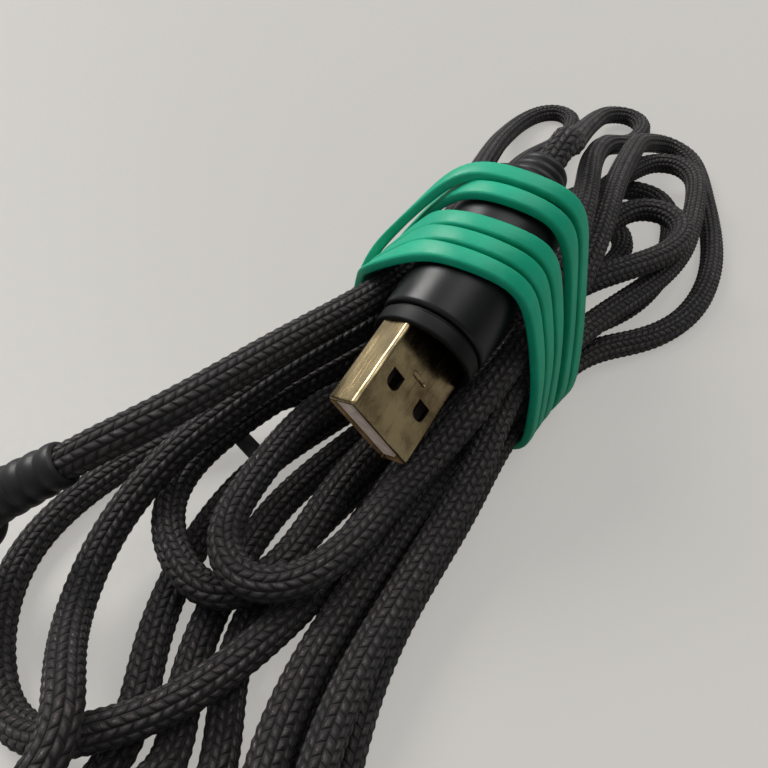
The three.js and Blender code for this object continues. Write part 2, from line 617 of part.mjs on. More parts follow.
// The guide points, with a straight lead out of each plug.
function cordLine() {
  const leads = [0, 1.05 * cordDiameter, 1.5 * cordDiameter];
  const usbBack = axisOf(usbPose);
  const start = vector(usbPose.tip).addScaledVector(usbBack, stationsOf(usb).end + seam);
  const microBack = axisOf(microPose);
  const finishAt = vector(microPose.cordEnd);
  return new CordLine([
    ...leads.map((lead) => start.clone().addScaledVector(usbBack, lead)),
    ...route.flat().map(vector),
    ...leads.toReversed().map((lead) => finishAt.clone().addScaledVector(microBack, lead)),
  ]);
}

// Points along the line, close together where it bends and far apart where it runs straight.
function ringPlaces(line) {
  const fine = line.getPoints(line.points.length * 24);
  const cost = [0];
  for (let i = 1; i < fine.length; i++) {
    const step = fine[i].distanceTo(fine[i - 1]);
    const ahead = fine[Math.min(i + 1, fine.length - 1)].clone().sub(fine[i]);
    const behind = fine[i].clone().sub(fine[i - 1]);
    const turn = i + 1 < fine.length ? behind.angleTo(ahead) : 0;
    cost.push(cost[i - 1] + step / ringReach + turn / radians(ringTurn));
  }
  const rings = Math.ceil(cost.at(-1));
  const places = [];
  let k = 0;
  for (let ring = 0; ring <= rings; ring++) {
    const wanted = (cost.at(-1) * ring) / rings;
    while (k < cost.length - 1 && cost[k] < wanted - 1e-9) k++;
    places.push(fine[k]);
  }
  return places;
}

// Rings square to a row of points, carried along without twist.
function ringsAlong(places, radius, sides) {
  let across = new THREE.Vector3(0, 0, 1);
  return places.map((place, i) => {
    const way = places[Math.min(i + 1, places.length - 1)].clone().sub(places[Math.max(i - 1, 0)]).normalize();
    across = across.clone().addScaledVector(way, -across.dot(way)).normalize();
    const side = new THREE.Vector3().crossVectors(way, across);
    return Array.from({ length: sides }, (_, k) => {
      const angle = (2 * Math.PI * k) / sides;
      return place.clone().addScaledVector(across, radius * Math.cos(angle))
        .addScaledVector(side, radius * Math.sin(angle));
    });
  });
}

// A row of points at steps of about a millimetre, each with its distance along the row.
function dense(places) {
  const points = [];
  let along = 0;
  for (let i = 0; i + 1 < places.length; i++) {
    const step = places[i].distanceTo(places[i + 1]);
    const cuts = Math.max(1, Math.ceil(step));
    for (let k = 0; k < cuts; k++) {
      points.push({ at: places[i].clone().lerp(places[i + 1], k / cuts), along: along + (step * k) / cuts });
    }
    along += step;
  }
  return { points, length: along };
}

// The least of a measure over pairs of points that are far enough apart along the row.
function leastOver(points, apart, total, measure) {
  let least = Infinity;
  for (let i = 0; i < points.length; i++) {
    for (let k = i + 1; k < points.length; k++) {
      const way = points[k].along - points[i].along;
      if (way > apart && total - way > apart) least = Math.min(least, measure(points[i].at, points[k].at));
    }
  }
  return least;
}

function cordPiece(line) {
  const places = ringPlaces(line);
  const tube = solidOf(tubeThrough(ringsAlong(places, cordDiameter / 2, cordSides)));
  const floor = solidOf(new THREE.BoxGeometry(400, 400, 20).translate(0, 0, -10));
  const { points, length } = dense(places);
  const gap = leastOver(points, 3 * cordDiameter, Infinity, (a, b) => a.distanceTo(b)) - cordDiameter;
  console.log(`cord: ${length.toFixed(0)} mm long, ${places.length} rings, least gap ${gap.toFixed(3)} mm`);
  return piece('braided_cord', tube.subtract(floor), finish.cord);
}

// ---------------------------------------------------------------- the rubber band

// What the band goes round at one place along the hank: circles [y, z, radius].
function waistCircles(x, fine) {
  const circles = [];
  for (let i = 1; i < fine.length; i++) {
    const a = fine[i - 1];
    const b = fine[i];
    if ((a.x - x) * (b.x - x) > 0 || Math.abs(b.x - a.x) < 1e-9) continue;
    const f = (x - a.x) / (b.x - a.x);
    const slant = a.distanceTo(b) / Math.abs(b.x - a.x); // a cord cut at a slant looks wider
    circles.push([a.y + f * (b.y - a.y), a.z + f * (b.z - a.z), (slant * cordDiameter) / 2]);
  }
  const back = axisOf(usbPose);
  const along = (x - usbPose.tip[0]) / back.x;
  const centre = vector(usbPose.tip).addScaledVector(back, along);
  circles.push([centre.y, centre.z, housingRadius(usb) / back.x]);
  return circles;
}

// How far the circles reach in a given way across the hank.
function reach(circles, angle) {
  const far = circles.map(([y, z, radius]) => y * Math.cos(angle) + z * Math.sin(angle) + radius);
  return Math.max(...far);
}

// Where two straight sides meet that touch the circles at these angles, lifted off them.
function cornerPoint(circles, first, second, lift) {
  const a = reach(circles, first) + lift;
  const b = reach(circles, second) + lift;
  const turn = Math.sin(second - first);
  return [(a * Math.sin(second) - b * Math.sin(first)) / turn,
    (b * Math.cos(first) - a * Math.cos(second)) / turn];
}

// A smooth step from 0 to 1 as t goes from a to b.
function ease(t, a, b) {
  const f = THREE.MathUtils.clamp((t - a) / (b - a), 0, 1);
  return f * f * (3 - 2 * f);
}

// Where the band is along the hank, and how far it is lifted, at a share t of one turn. Each turn
// starts underneath, goes up the -Y side, over the top and down the +Y side; the last one crosses.
function bandPlace(turn, t) {
  const turns = bandUnder.length;
  const under = t < 0.5 ? bandUnder[turn] : bandUnder[(turn + 1) % turns];
  const share = ease(t < 0.5 ? t : 1 - t, 0, 0.5);
  if (turn < turns - 1 || t < 0.5) return { x: THREE.MathUtils.lerp(under, bandOver[turn], share), lift: 0 };
  const outside = THREE.MathUtils.lerp(under, bandOver[0] - bandPitch, share);
  const { start, end } = bandCross;
  const x = THREE.MathUtils.lerp(outside, bandOver[turn], ease(t, end, start));
  return { x, lift: bandHump * ease(t, start - 0.02, start + 0.05) * ease(t, end + 0.08, end) };
}

function bandPath(line) {
  const fine = line.getPoints(line.points.length * 12);
  const half = bandWidth / 2;
  const rings = [];
  const middles = [];
  for (let turn = 0; turn < bandUnder.length; turn++) {
    for (let station = 0; station < bandStations; station++) {
      const t = station / bandStations;
      const { x, lift } = bandPlace(turn, t);
      const angle = -Math.PI / 2 - 2 * Math.PI * t;
      const next = angle - (2 * Math.PI) / bandStations;
      const corner = (dx, rise) => {
        const [y, z] = cornerPoint(waistCircles(x + dx, fine), angle, next, bandFit + lift + rise);
        return new THREE.Vector3(x + dx, y, z);
      };
      rings.push([corner(-half, 0), corner(half, 0), corner(half, bandThickness), corner(-half, bandThickness)]);
      middles.push(corner(0, bandThickness / 2));
    }
  }
  return { rings, middles };
}

// Points on the four sides of the band between one ring and the next.
function skinPoints(ring, next) {
  const points = [];
  for (const f of [0, 1 / 3, 2 / 3]) {
    const here = ring.map((p, k) => p.clone().lerp(next[k], f));
    here.forEach((p, k) => points.push(p, p.clone().lerp(here[(k + 1) % 4], 0.5)));
  }
  return points;
}

function bandPiece(line) {
  const { rings, middles } = bandPath(line);
  const { length } = dense([...middles, middles[0]]);
  const skin = rings.flatMap((ring, i) => skinPoints(ring, rings[(i + 1) % rings.length]))
    .map((at, i, all) => ({ at, along: (length * i) / all.length }));
  const gap = leastOver(skin, 30, length, (a, b) => a.distanceTo(b));
  console.log(`band: ${length.toFixed(0)} mm round, least gap between turns ${gap.toFixed(2)} mm`);
  return piece('rubber_band', tubeThrough(rings, true), finish.rubber);
}

// ---------------------------------------------------------------- the wire tie

function tiePiece() {
  const line = new THREE.CatmullRomCurve3(tieLine.map(vector));
  const places = line.getSpacedPoints(10);
  const rings = places.map((place, i) => {
    const way = line.getTangentAt(i / 10);
    const side = new THREE.Vector3(0, 0, 1).cross(way).normalize().multiplyScalar(tie.width / 2);
    const up = way.clone().cross(side).normalize().multiplyScalar(tie.thickness / 2);
    return [[1, 1], [-1, 1], [-1, -1], [1, -1]].map(([a, b]) => place.clone()
      .addScaledVector(side, a).addScaledVector(up, b));
  });
  return piece('wire_tie', tubeThrough(rings), finish.tie);
}

// ---------------------------------------------------------------- the whole

const line = cordLine();
const hank = new THREE.Group();
hank.add(usbPlug(), microPlug(), cordPiece(line), bandPiece(line), tiePiece());

// the origin is at the middle of the bottom of the whole
hank.updateMatrixWorld(true);
const bounds = new THREE.Box3().setFromObject(hank, true);
const middle = bounds.getCenter(new THREE.Vector3());
hank.position.set(-middle.x, -middle.y, -bounds.min.z);
hank.updateMatrixWorld(true);

export default hank;
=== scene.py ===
# A braided charging cable folded into a hank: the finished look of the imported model. Metres.
import bpy
import json
import math
import numpy as np
from mathutils import Euler, Matrix, Vector


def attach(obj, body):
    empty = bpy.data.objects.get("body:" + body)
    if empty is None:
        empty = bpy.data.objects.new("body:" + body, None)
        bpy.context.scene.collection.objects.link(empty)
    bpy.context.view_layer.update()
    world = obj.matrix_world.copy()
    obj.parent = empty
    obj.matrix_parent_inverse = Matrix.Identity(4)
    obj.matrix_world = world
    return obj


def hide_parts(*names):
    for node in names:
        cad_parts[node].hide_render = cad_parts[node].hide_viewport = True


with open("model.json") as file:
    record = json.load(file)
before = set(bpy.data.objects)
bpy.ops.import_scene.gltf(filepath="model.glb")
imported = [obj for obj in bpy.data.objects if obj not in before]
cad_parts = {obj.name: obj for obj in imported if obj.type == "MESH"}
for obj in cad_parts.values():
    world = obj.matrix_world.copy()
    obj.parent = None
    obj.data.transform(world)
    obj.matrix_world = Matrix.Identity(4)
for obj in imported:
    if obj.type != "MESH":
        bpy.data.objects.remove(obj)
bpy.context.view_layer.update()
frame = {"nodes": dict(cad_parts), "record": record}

NODES = frame["nodes"]

# the middle of the waist, where the cords pass through the rubber band
WAIST = Vector((-0.0062581, -0.0125410, 0.0))

# ---------------------------------------------------------------- camera

bpy.ops.object.camera_add(location=WAIST + Vector((-0.0834, -0.0345, 0.0805)))
camera = bpy.context.object
camera.name = "camera"
LOOK = Vector((0.637, 0.383, -0.669)).normalized()
RIGHT = Vector((0.515, -0.857, 0.0)).normalized()
camera.rotation_euler = Matrix((RIGHT, RIGHT.cross(LOOK), -LOOK)).transposed().to_euler()
camera.data.lens = 36
camera.data.sensor_width = 36
camera.data.clip_start = 0.005
bpy.context.scene.camera = camera


# ---------------------------------------------------------------- shader maths

class Value:
    """A number that varies over a surface. Arithmetic on it adds Math nodes."""

    def __init__(self, finish, socket):
        self.finish = finish
        self.socket = socket

    def __add__(self, other):
        return self.finish.math("ADD", self, other)

    def __sub__(self, other):
        return self.finish.math("SUBTRACT", self, other)

    def __mul__(self, other):
        return self.finish.math("MULTIPLY", self, other)

    def __rsub__(self, other):
        return self.finish.math("SUBTRACT", other, self)

    __radd__ = __add__
    __rmul__ = __mul__


class Finish:
    """A material under construction."""

    def __init__(self, name):
        self.material = bpy.data.materials.new(name)
        self.material.use_nodes = True
        self.tree = self.material.node_tree
        self.tree.nodes.clear()
        self.place = self.node("ShaderNodeTexCoord", {}, {}).outputs["Object"]

    def node(self, kind, settings, sockets):
        node = self.tree.nodes.new(kind)
        for key, value in settings.items():
            setattr(node, key, value)
        for key, value in sockets.items():
            if isinstance(value, Value):
                value = value.socket
            if isinstance(value, bpy.types.NodeSocket):
                self.tree.links.new(value, node.inputs[key])
            else:
                node.inputs[key].default_value = value
        return node

    def math(self, operation, first, second=0.0):
        node = self.node("ShaderNodeMath", {"operation": operation}, {0: first, 1: second})
        return Value(self, node.outputs[0])

    def clamp(self, value):
        node = self.node("ShaderNodeClamp", {}, {"Value": value})
        return Value(self, node.outputs[0])

    def noise(self, scale, detail=3.0, place=None, rough=0.5):
        node = self.node("ShaderNodeTexNoise", {}, {
            "Vector": self.place if place is None else place,
            "Scale": scale, "Detail": detail, "Roughness": rough})
        return Value(self, node.outputs["Fac"])

    def stretched(self, turn, scale):
        """Object coordinates turned and stretched, for brushing and drawing marks."""
        node = self.node("ShaderNodeMapping", {"vector_type": "TEXTURE"}, {
            "Vector": self.place, "Rotation": turn, "Scale": scale})
        return node.outputs[0]

    def mix(self, amount, low, high):
        """A colour between two, of which either may itself be a varying colour."""
        node = self.node("ShaderNodeMix", {"data_type": "RGBA"}, {0: amount, 6: low, 7: high})
        return node.outputs[2]

    def bump(self, height, distance):
        node = self.node("ShaderNodeBump", {}, {"Height": height, "Distance": distance, "Strength": 1.0})
        return node.outputs[0]

    def surface(self, sockets):
        shader = self.node("ShaderNodeBsdfPrincipled", {}, sockets)
        self.node("ShaderNodeOutputMaterial", {}, {"Surface": shader.outputs[0]})
        return self.material


def paint(red, green, blue):
    """A colour given as it looks on a screen, made linear."""
    def linear(c):
        c = c / 255
        return c / 12.92 if c <= 0.04045 else ((c + 0.055) / 1.055) ** 2.4
    return (linear(red), linear(green), linear(blue), 1.0)


# ---------------------------------------------------------------- materials

GRAIN_LEAN = 0.40  # how far a grain slants, as a share of its length


def braid_finish():
    """Fine black yarn, plaited so that each column of grains leans against the next; each grain's middle is
    painted lighter and the grooves between grains painted near black, as painted light and painted shade.
    """
    f = Finish("black braid")
    uv = f.node("ShaderNodeUVMap", {"uv_map": "plait"}, {}).outputs[0]
    split = f.node("ShaderNodeSeparateXYZ", {}, {"Vector": uv})
    across = Value(f, split.outputs["X"])
    along = Value(f, split.outputs["Y"])
    column = f.math("FLOOR", across)
    cx = f.math("FRACT", across) - 0.5
    parity = f.math("FRACT", column * 0.5) * 2.0
    lean = 1.0 - parity * 2.0
    t = along + lean * cx * GRAIN_LEAN + parity * 0.5
    row = f.math("FLOOR", t)
    ft = f.math("FRACT", t) - 0.5
    wide = 1.0 - cx * cx * 4.0
    tall = 1.0 - ft * ft * 4.0
    grain = f.math("SQRT", f.math("MAXIMUM", wide * tall, 0.0))
    cell = f.node("ShaderNodeCombineXYZ", {}, {"X": column, "Y": row})
    own = Value(f, f.node("ShaderNodeTexWhiteNoise", {"noise_dimensions": "3D"},
                          {"Vector": cell.outputs[0]}).outputs["Value"])
    strand = f.node("ShaderNodeCombineXYZ", {},
                    {"X": ft * 9.0, "Y": cx * 1.2, "Z": column * 3.7 + row})
    fibre = f.noise(1.6, 2.0, strand.outputs[0], 0.6)
    wear = f.noise(90.0, 3.0)
    # painted light and shade: lighter in each grain's middle, darker towards the grooves between grains; own
    # and fibre add each grain's own random tone
    painted_grain_light_and_tone = f.clamp((grain * 1.25 - 0.2) * (0.45 + own * 0.6) * (0.45 + fibre * 1.1))
    yarn = f.mix(f.clamp(wear * 1.8 - 0.45), paint(46, 41, 43), paint(66, 59, 57))
    # painted shade: towards the grooves the yarn colour is painted down to near black
    colour = f.mix(painted_grain_light_and_tone, paint(4, 3, 4), yarn)
    height = grain * (0.86 + own * 0.14) + fibre * 0.16
    return f.surface({
        "Base Color": colour,
        "Roughness": f.clamp(0.86 - painted_grain_light_and_tone * 0.72 + wear * 0.06),
        "Specular IOR Level": 0.42,
        "Sheen Weight": 0.05,
        "Sheen Roughness": 0.45,
        "Normal": f.bump(height, 0.00060),
    })


def plastic_finish(name, colour, roughness, grain=1400.0, depth=0.000006, smear=0.10,
                   shine=0.5):
    """Moulded plastic: a fine spark-eroded grain, handling smears and faint scuffs."""
    f = Finish(name)
    smears = f.noise(160.0, 4.0, None, 0.6)
    scuffs = f.noise(900.0, 2.0, f.stretched((0.3, 0.2, 0.6), (7.0, 1.0, 1.0)))
    pits = f.noise(grain * 4, 2.0)
    scuff = f.clamp(scuffs * 6.0 - 3.9)
    lighter = tuple(min(1.0, c * 1.7 + 0.006) for c in colour[:3]) + (1.0,)
    return f.surface({
        "Base Color": f.mix(f.clamp(scuff * 0.6 + smears * 0.5 - 0.15), colour, lighter),
        "Roughness": f.clamp(roughness + (smears - 0.5) * smear * 2 + scuff * 0.12),
        "Specular IOR Level": shine,
        "Normal": f.bump(pits + smears * 0.6, depth),
    })


def insulator_finish():
    """Light moulded insulator: pale at the plug's mouth with a faint painted glow there, and painted shade
    that darkens it deeper inside the shell.
    """
    f = Finish("grey-white insulator")
    along = f.node("ShaderNodeVectorMath", {"operation": "DOT_PRODUCT"}, {0: f.place, 1: tuple(USB_BACK)})
    depth = Value(f, along.outputs["Value"]) - USB_TIP.dot(USB_BACK)
    # painted light and shade: 1 within about 0.7 mm of the mouth, falling to 0 about 3 mm inside the shell
    painted_light_at_mouth = f.clamp(1.3 - depth * 420.0)
    smears = f.noise(700.0, 4.0, None, 0.6)
    light = f.mix(f.clamp(smears * 2.2 - 0.8), paint(196, 182, 172), paint(230, 220, 208))
    return f.surface({
        # painted shade: the colour darkens deeper inside the shell
        "Base Color": f.mix(painted_light_at_mouth, paint(96, 88, 84), light),
        "Roughness": f.clamp(0.42 + smears * 0.2),
        # painted light: a glow at the mouth, though the insulator is no lamp
        "Emission Color": f.mix(painted_light_at_mouth * (0.4 + smears), (0.0, 0.0, 0.0, 1.0), paint(86, 76, 70)),
        "Emission Strength": 1.0,
        "Normal": f.bump(smears, 0.00001),
    })


def gold_finish(turn):
    """Thin pale gold plating over drawn sheet: brushing along the plug, dull patches, fine scratches."""
    f = Finish("gold plate " + str(round(turn[2], 2)))
    brush = f.noise(2600.0, 3.0, f.stretched(turn, (30.0, 1.0, 1.0)), 0.6)
    scratch = f.noise(3400.0, 1.0, f.stretched((turn[0], turn[1], turn[2] + 0.03), (22.0, 1.0, 1.0)))
    deep = f.clamp(scratch * 6.0 - 3.9)
    patch = f.noise(260.0, 4.0, None, 0.62)
    worn = f.clamp(patch * 3.4 - 1.3)
    dents = f.noise(170.0, 1.0)
    colour = f.mix(worn, paint(176, 158, 121), paint(118, 101, 72))
    return f.surface({
        "Base Color": f.mix(f.clamp(deep * 0.55), colour, paint(84, 68, 44)),
        "Metallic": 1.0,
        "Roughness": f.clamp(0.12 + brush * 0.16 + worn * 0.12 + deep * 0.2),
        "Normal": f.bump(brush * 0.6 - deep * 0.3 + patch * 3.2 + dents * 26.0, 0.000018),
    })


def metal_finish(name, colour, roughness):
    f = Finish(name)
    brush = f.noise(3000.0, 2.0, f.stretched((0.0, 0.0, -0.9), (12.0, 1.0, 1.0)))
    patch = f.noise(500.0, 3.0)
    darker = tuple(c * 0.8 for c in colour[:3]) + (1.0,)
    return f.surface({
        "Base Color": f.mix(f.clamp(patch * 1.6 - 0.4), colour, darker),
        "Metallic": 1.0,
        "Roughness": f.clamp(roughness + brush * 0.15),
        "Normal": f.bump(brush, 0.000006),
    })


def rubber_finish():
    """Green natural rubber: satin, with faint drawn lines, chalky bloom and small nicks."""
    f = Finish("green rubber")
    uv = f.node("ShaderNodeUVMap", {"uv_map": "band"}, {}).outputs[0]
    split = f.node("ShaderNodeSeparateXYZ", {}, {"Vector": uv})
    around = Value(f, split.outputs["X"])
    along = Value(f, split.outputs["Y"])
    lines = f.node("ShaderNodeCombineXYZ", {}, {"X": around * 30.0, "Y": along * 1.5})
    drawn = f.noise(1.0, 3.0, lines.outputs[0])
    cloud = f.noise(140.0, 4.0, None, 0.6)
    bloom = f.clamp(f.noise(420.0, 4.0, None, 0.7) * 3.0 - 1.5)
    fleck = f.clamp(f.noise(2600.0, 1.0) * 10.0 - 7.2)
    colour = f.mix(f.clamp(cloud * 1.5 - 0.25), paint(4, 160, 122), paint(10, 184, 142))
    colour = f.mix(f.clamp(bloom * 0.25 + fleck * 0.3), colour, paint(76, 198, 166))
    return f.surface({
        "Base Color": colour,
        "Roughness": f.clamp(0.36 + bloom * 0.18 + drawn * 0.12),
        "Specular IOR Level": 0.36,
        "Subsurface Weight": 0.12,
        "Subsurface Radius": (0.0006, 0.0016, 0.0011),
        "Subsurface Scale": 0.6,
        "Normal": f.bump(drawn * 0.7 + cloud * 0.6 + fleck * 0.5, 0.00005),
    })


USB_TIP = WAIST + Vector((-0.032, -0.0014, 0.018))
USB_TURN = (math.radians(66.5), math.radians(-19.8), math.radians(-3.3))
USB_BACK = Euler(USB_TURN, "XYZ").to_matrix() @ Vector((1, 0, 0))
MICRO_TURN = (0.0, math.radians(-28.3), math.radians(-51.4))

FINISHES = {
    "cord_braid": braid_finish(),
    "green_rubber": rubber_finish(),
    "gold_plated_shell": gold_finish(USB_TURN),
    "gold_micro": gold_finish(MICRO_TURN),
    "white_insulator": insulator_finish(),
    "dark_insulator": plastic_finish("dark insulator", paint(38, 38, 40), 0.45),
    "gold_contacts": metal_finish("gold contacts", paint(226, 190, 112), 0.2),
    "spring_steel": metal_finish("spring steel", paint(190, 191, 193), 0.28),
    "gloss_black_plastic": plastic_finish("gloss black plastic", paint(5, 5, 6), 0.50,
                                          900.0, 0.000004, 0.06, 0.26),
    "satin_black_plastic": plastic_finish("satin black plastic", paint(9, 10, 13), 0.35,
                                          1600.0, 0.000008, 0.10, 0.40),
    "boot_plastic": plastic_finish("boot plastic", paint(15, 14, 16), 0.46, 1200.0, 0.000010),
    "inner_jacket": plastic_finish("inner jacket", paint(42, 42, 43), 0.6),
    "tie_plastic": plastic_finish("tie plastic", paint(72, 73, 72), 0.38, 1000.0, 0.000010),
    "core_red": plastic_finish("red wire", paint(170, 34, 28), 0.42),
    "core_white": plastic_finish("white wire", paint(214, 210, 202), 0.42),
    "core_green": plastic_finish("green wire", paint(40, 120, 62), 0.42),
    "core_black": plastic_finish("black wire", paint(24, 24, 25), 0.42),
}

SLOT_OF = {entry["node"]: entry["material_slot"] for entry in frame["record"]["subparts"]}
for name, node in NODES.items():
    node.data.materials.clear()
    node.data.materials.append(FINISHES[SLOT_OF[name]])
    if name.startswith("micro_shell"):
        node.data.materials[0] = FINISHES["gold_micro"]


# ---------------------------------------------------------------- making pieces

def finish_piece(piece, name, slot_name, body, *nodes, finish=None):
    """Names a piece, gives it its material, and ties it to the frame."""
    piece.name = name
    piece.data.name = name
    piece.data.materials.clear()
    piece.data.materials.append(FINISHES[finish or slot_name])
    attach(piece, body)
    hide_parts(*nodes)
    return piece


def mesh_piece(points, faces):
    mesh = bpy.data.meshes.new("loft")
    mesh.from_pydata(points, [], faces)
    mesh.update()
    piece = bpy.data.objects.new("loft", mesh)
    bpy.context.scene.collection.objects.link(piece)
    return piece


def only(piece):
    """Selects one piece alone."""
    bpy.ops.object.select_all(action="DESELECT")
    piece.select_set(True)
    bpy.context.view_layer.objects.active = piece


def apply_modifier(piece, kind, **settings):
    only(piece)
    modifier = piece.modifiers.new(kind.lower(), kind)
    for key, value in settings.items():
        setattr(modifier, key, value)
    bpy.ops.object.modifier_apply(modifier=modifier.name)


def smooth(piece, degrees):
    only(piece)
    bpy.ops.object.shade_smooth_by_angle(angle=math.radians(degrees))


def choose(piece, kind, test):
    """In edit mode, selects the piece's faces or edges whose middle and normal pass a test."""
    bpy.ops.object.mode_set(mode="OBJECT")
    mesh = piece.data
    for part in (mesh.vertices, mesh.edges, mesh.polygons):
        part.foreach_set("select", [False] * len(part))
    if kind == "FACE":
        for face in mesh.polygons:
            face.select = test(face.center, face.normal)
    else:
        for edge in mesh.edges:
            a, b = (mesh.vertices[i].co for i in edge.vertices)
            edge.select = test((a + b) / 2, (b - a).normalized())
    bpy.ops.object.mode_set(mode="EDIT")
    bpy.ops.mesh.select_mode(type=kind)


def turned_piece(profile, sides=64):
    """A solid of rings along x: a circle is extruded and drawn in or out at each step of its
    profile, which is a closed loop of (place along x, radius)."""
    bpy.ops.object.select_all(action="DESELECT")
    x, radius = profile[0]
    bpy.ops.mesh.primitive_circle_add(vertices=sides, radius=radius, location=(x, 0, 0),
                                      rotation=(0, math.pi / 2, 0))
    piece = bpy.context.object
    only(piece)
    bpy.ops.object.transform_apply(location=True, rotation=True, scale=True)
    bpy.ops.object.mode_set(mode="EDIT")
    bpy.ops.mesh.select_all(action="SELECT")
    for next_x, next_radius in profile[1:]:
        bpy.ops.mesh.extrude_region_move(TRANSFORM_OT_translate={"value": (next_x - x, 0, 0)})
        grow = next_radius / radius
        bpy.ops.transform.resize(value=(1, grow, grow))
        x, radius = next_x, next_radius
    bpy.ops.mesh.select_all(action="SELECT")
    bpy.ops.mesh.remove_doubles(threshold=1e-7)
    bpy.ops.mesh.normals_make_consistent(inside=False)
    bpy.ops.object.mode_set(mode="OBJECT")
    return piece


def block(low, high):
    """A box between two corners."""
    bpy.ops.object.select_all(action="DESELECT")
    middle = [(a + b) / 2 for a, b in zip(low, high)]
    bpy.ops.mesh.primitive_cube_add(size=1, location=middle, scale=[b - a for a, b in zip(low, high)])
    piece = bpy.context.object
    only(piece)
    bpy.ops.object.transform_apply(location=True, rotation=True, scale=True)
    return piece


def rounded_edges(piece, test, width, segments):
    """Bevels the edges that pass a test."""
    only(piece)
    choose(piece, "EDGE", test)
    bpy.ops.mesh.bevel(offset=width, segments=segments, affect="EDGES")
    bpy.ops.object.mode_set(mode="OBJECT")


def cut(piece, cutter):
    apply_modifier(piece, "BOOLEAN", object=cutter, operation="DIFFERENCE", solver="EXACT")
    mesh = cutter.data
    bpy.data.objects.remove(cutter)
    bpy.data.meshes.remove(mesh)


def set_down(piece, turn, tip):
    """Moves a plug's piece from the plug's own axes to where the plug lies."""
    piece.data.transform(Matrix.Translation(tip) @ Euler(turn, "XYZ").to_matrix().to_4x4())
    piece.data.update()
    return piece


# ---------------------------------------------------------------- the cord's route

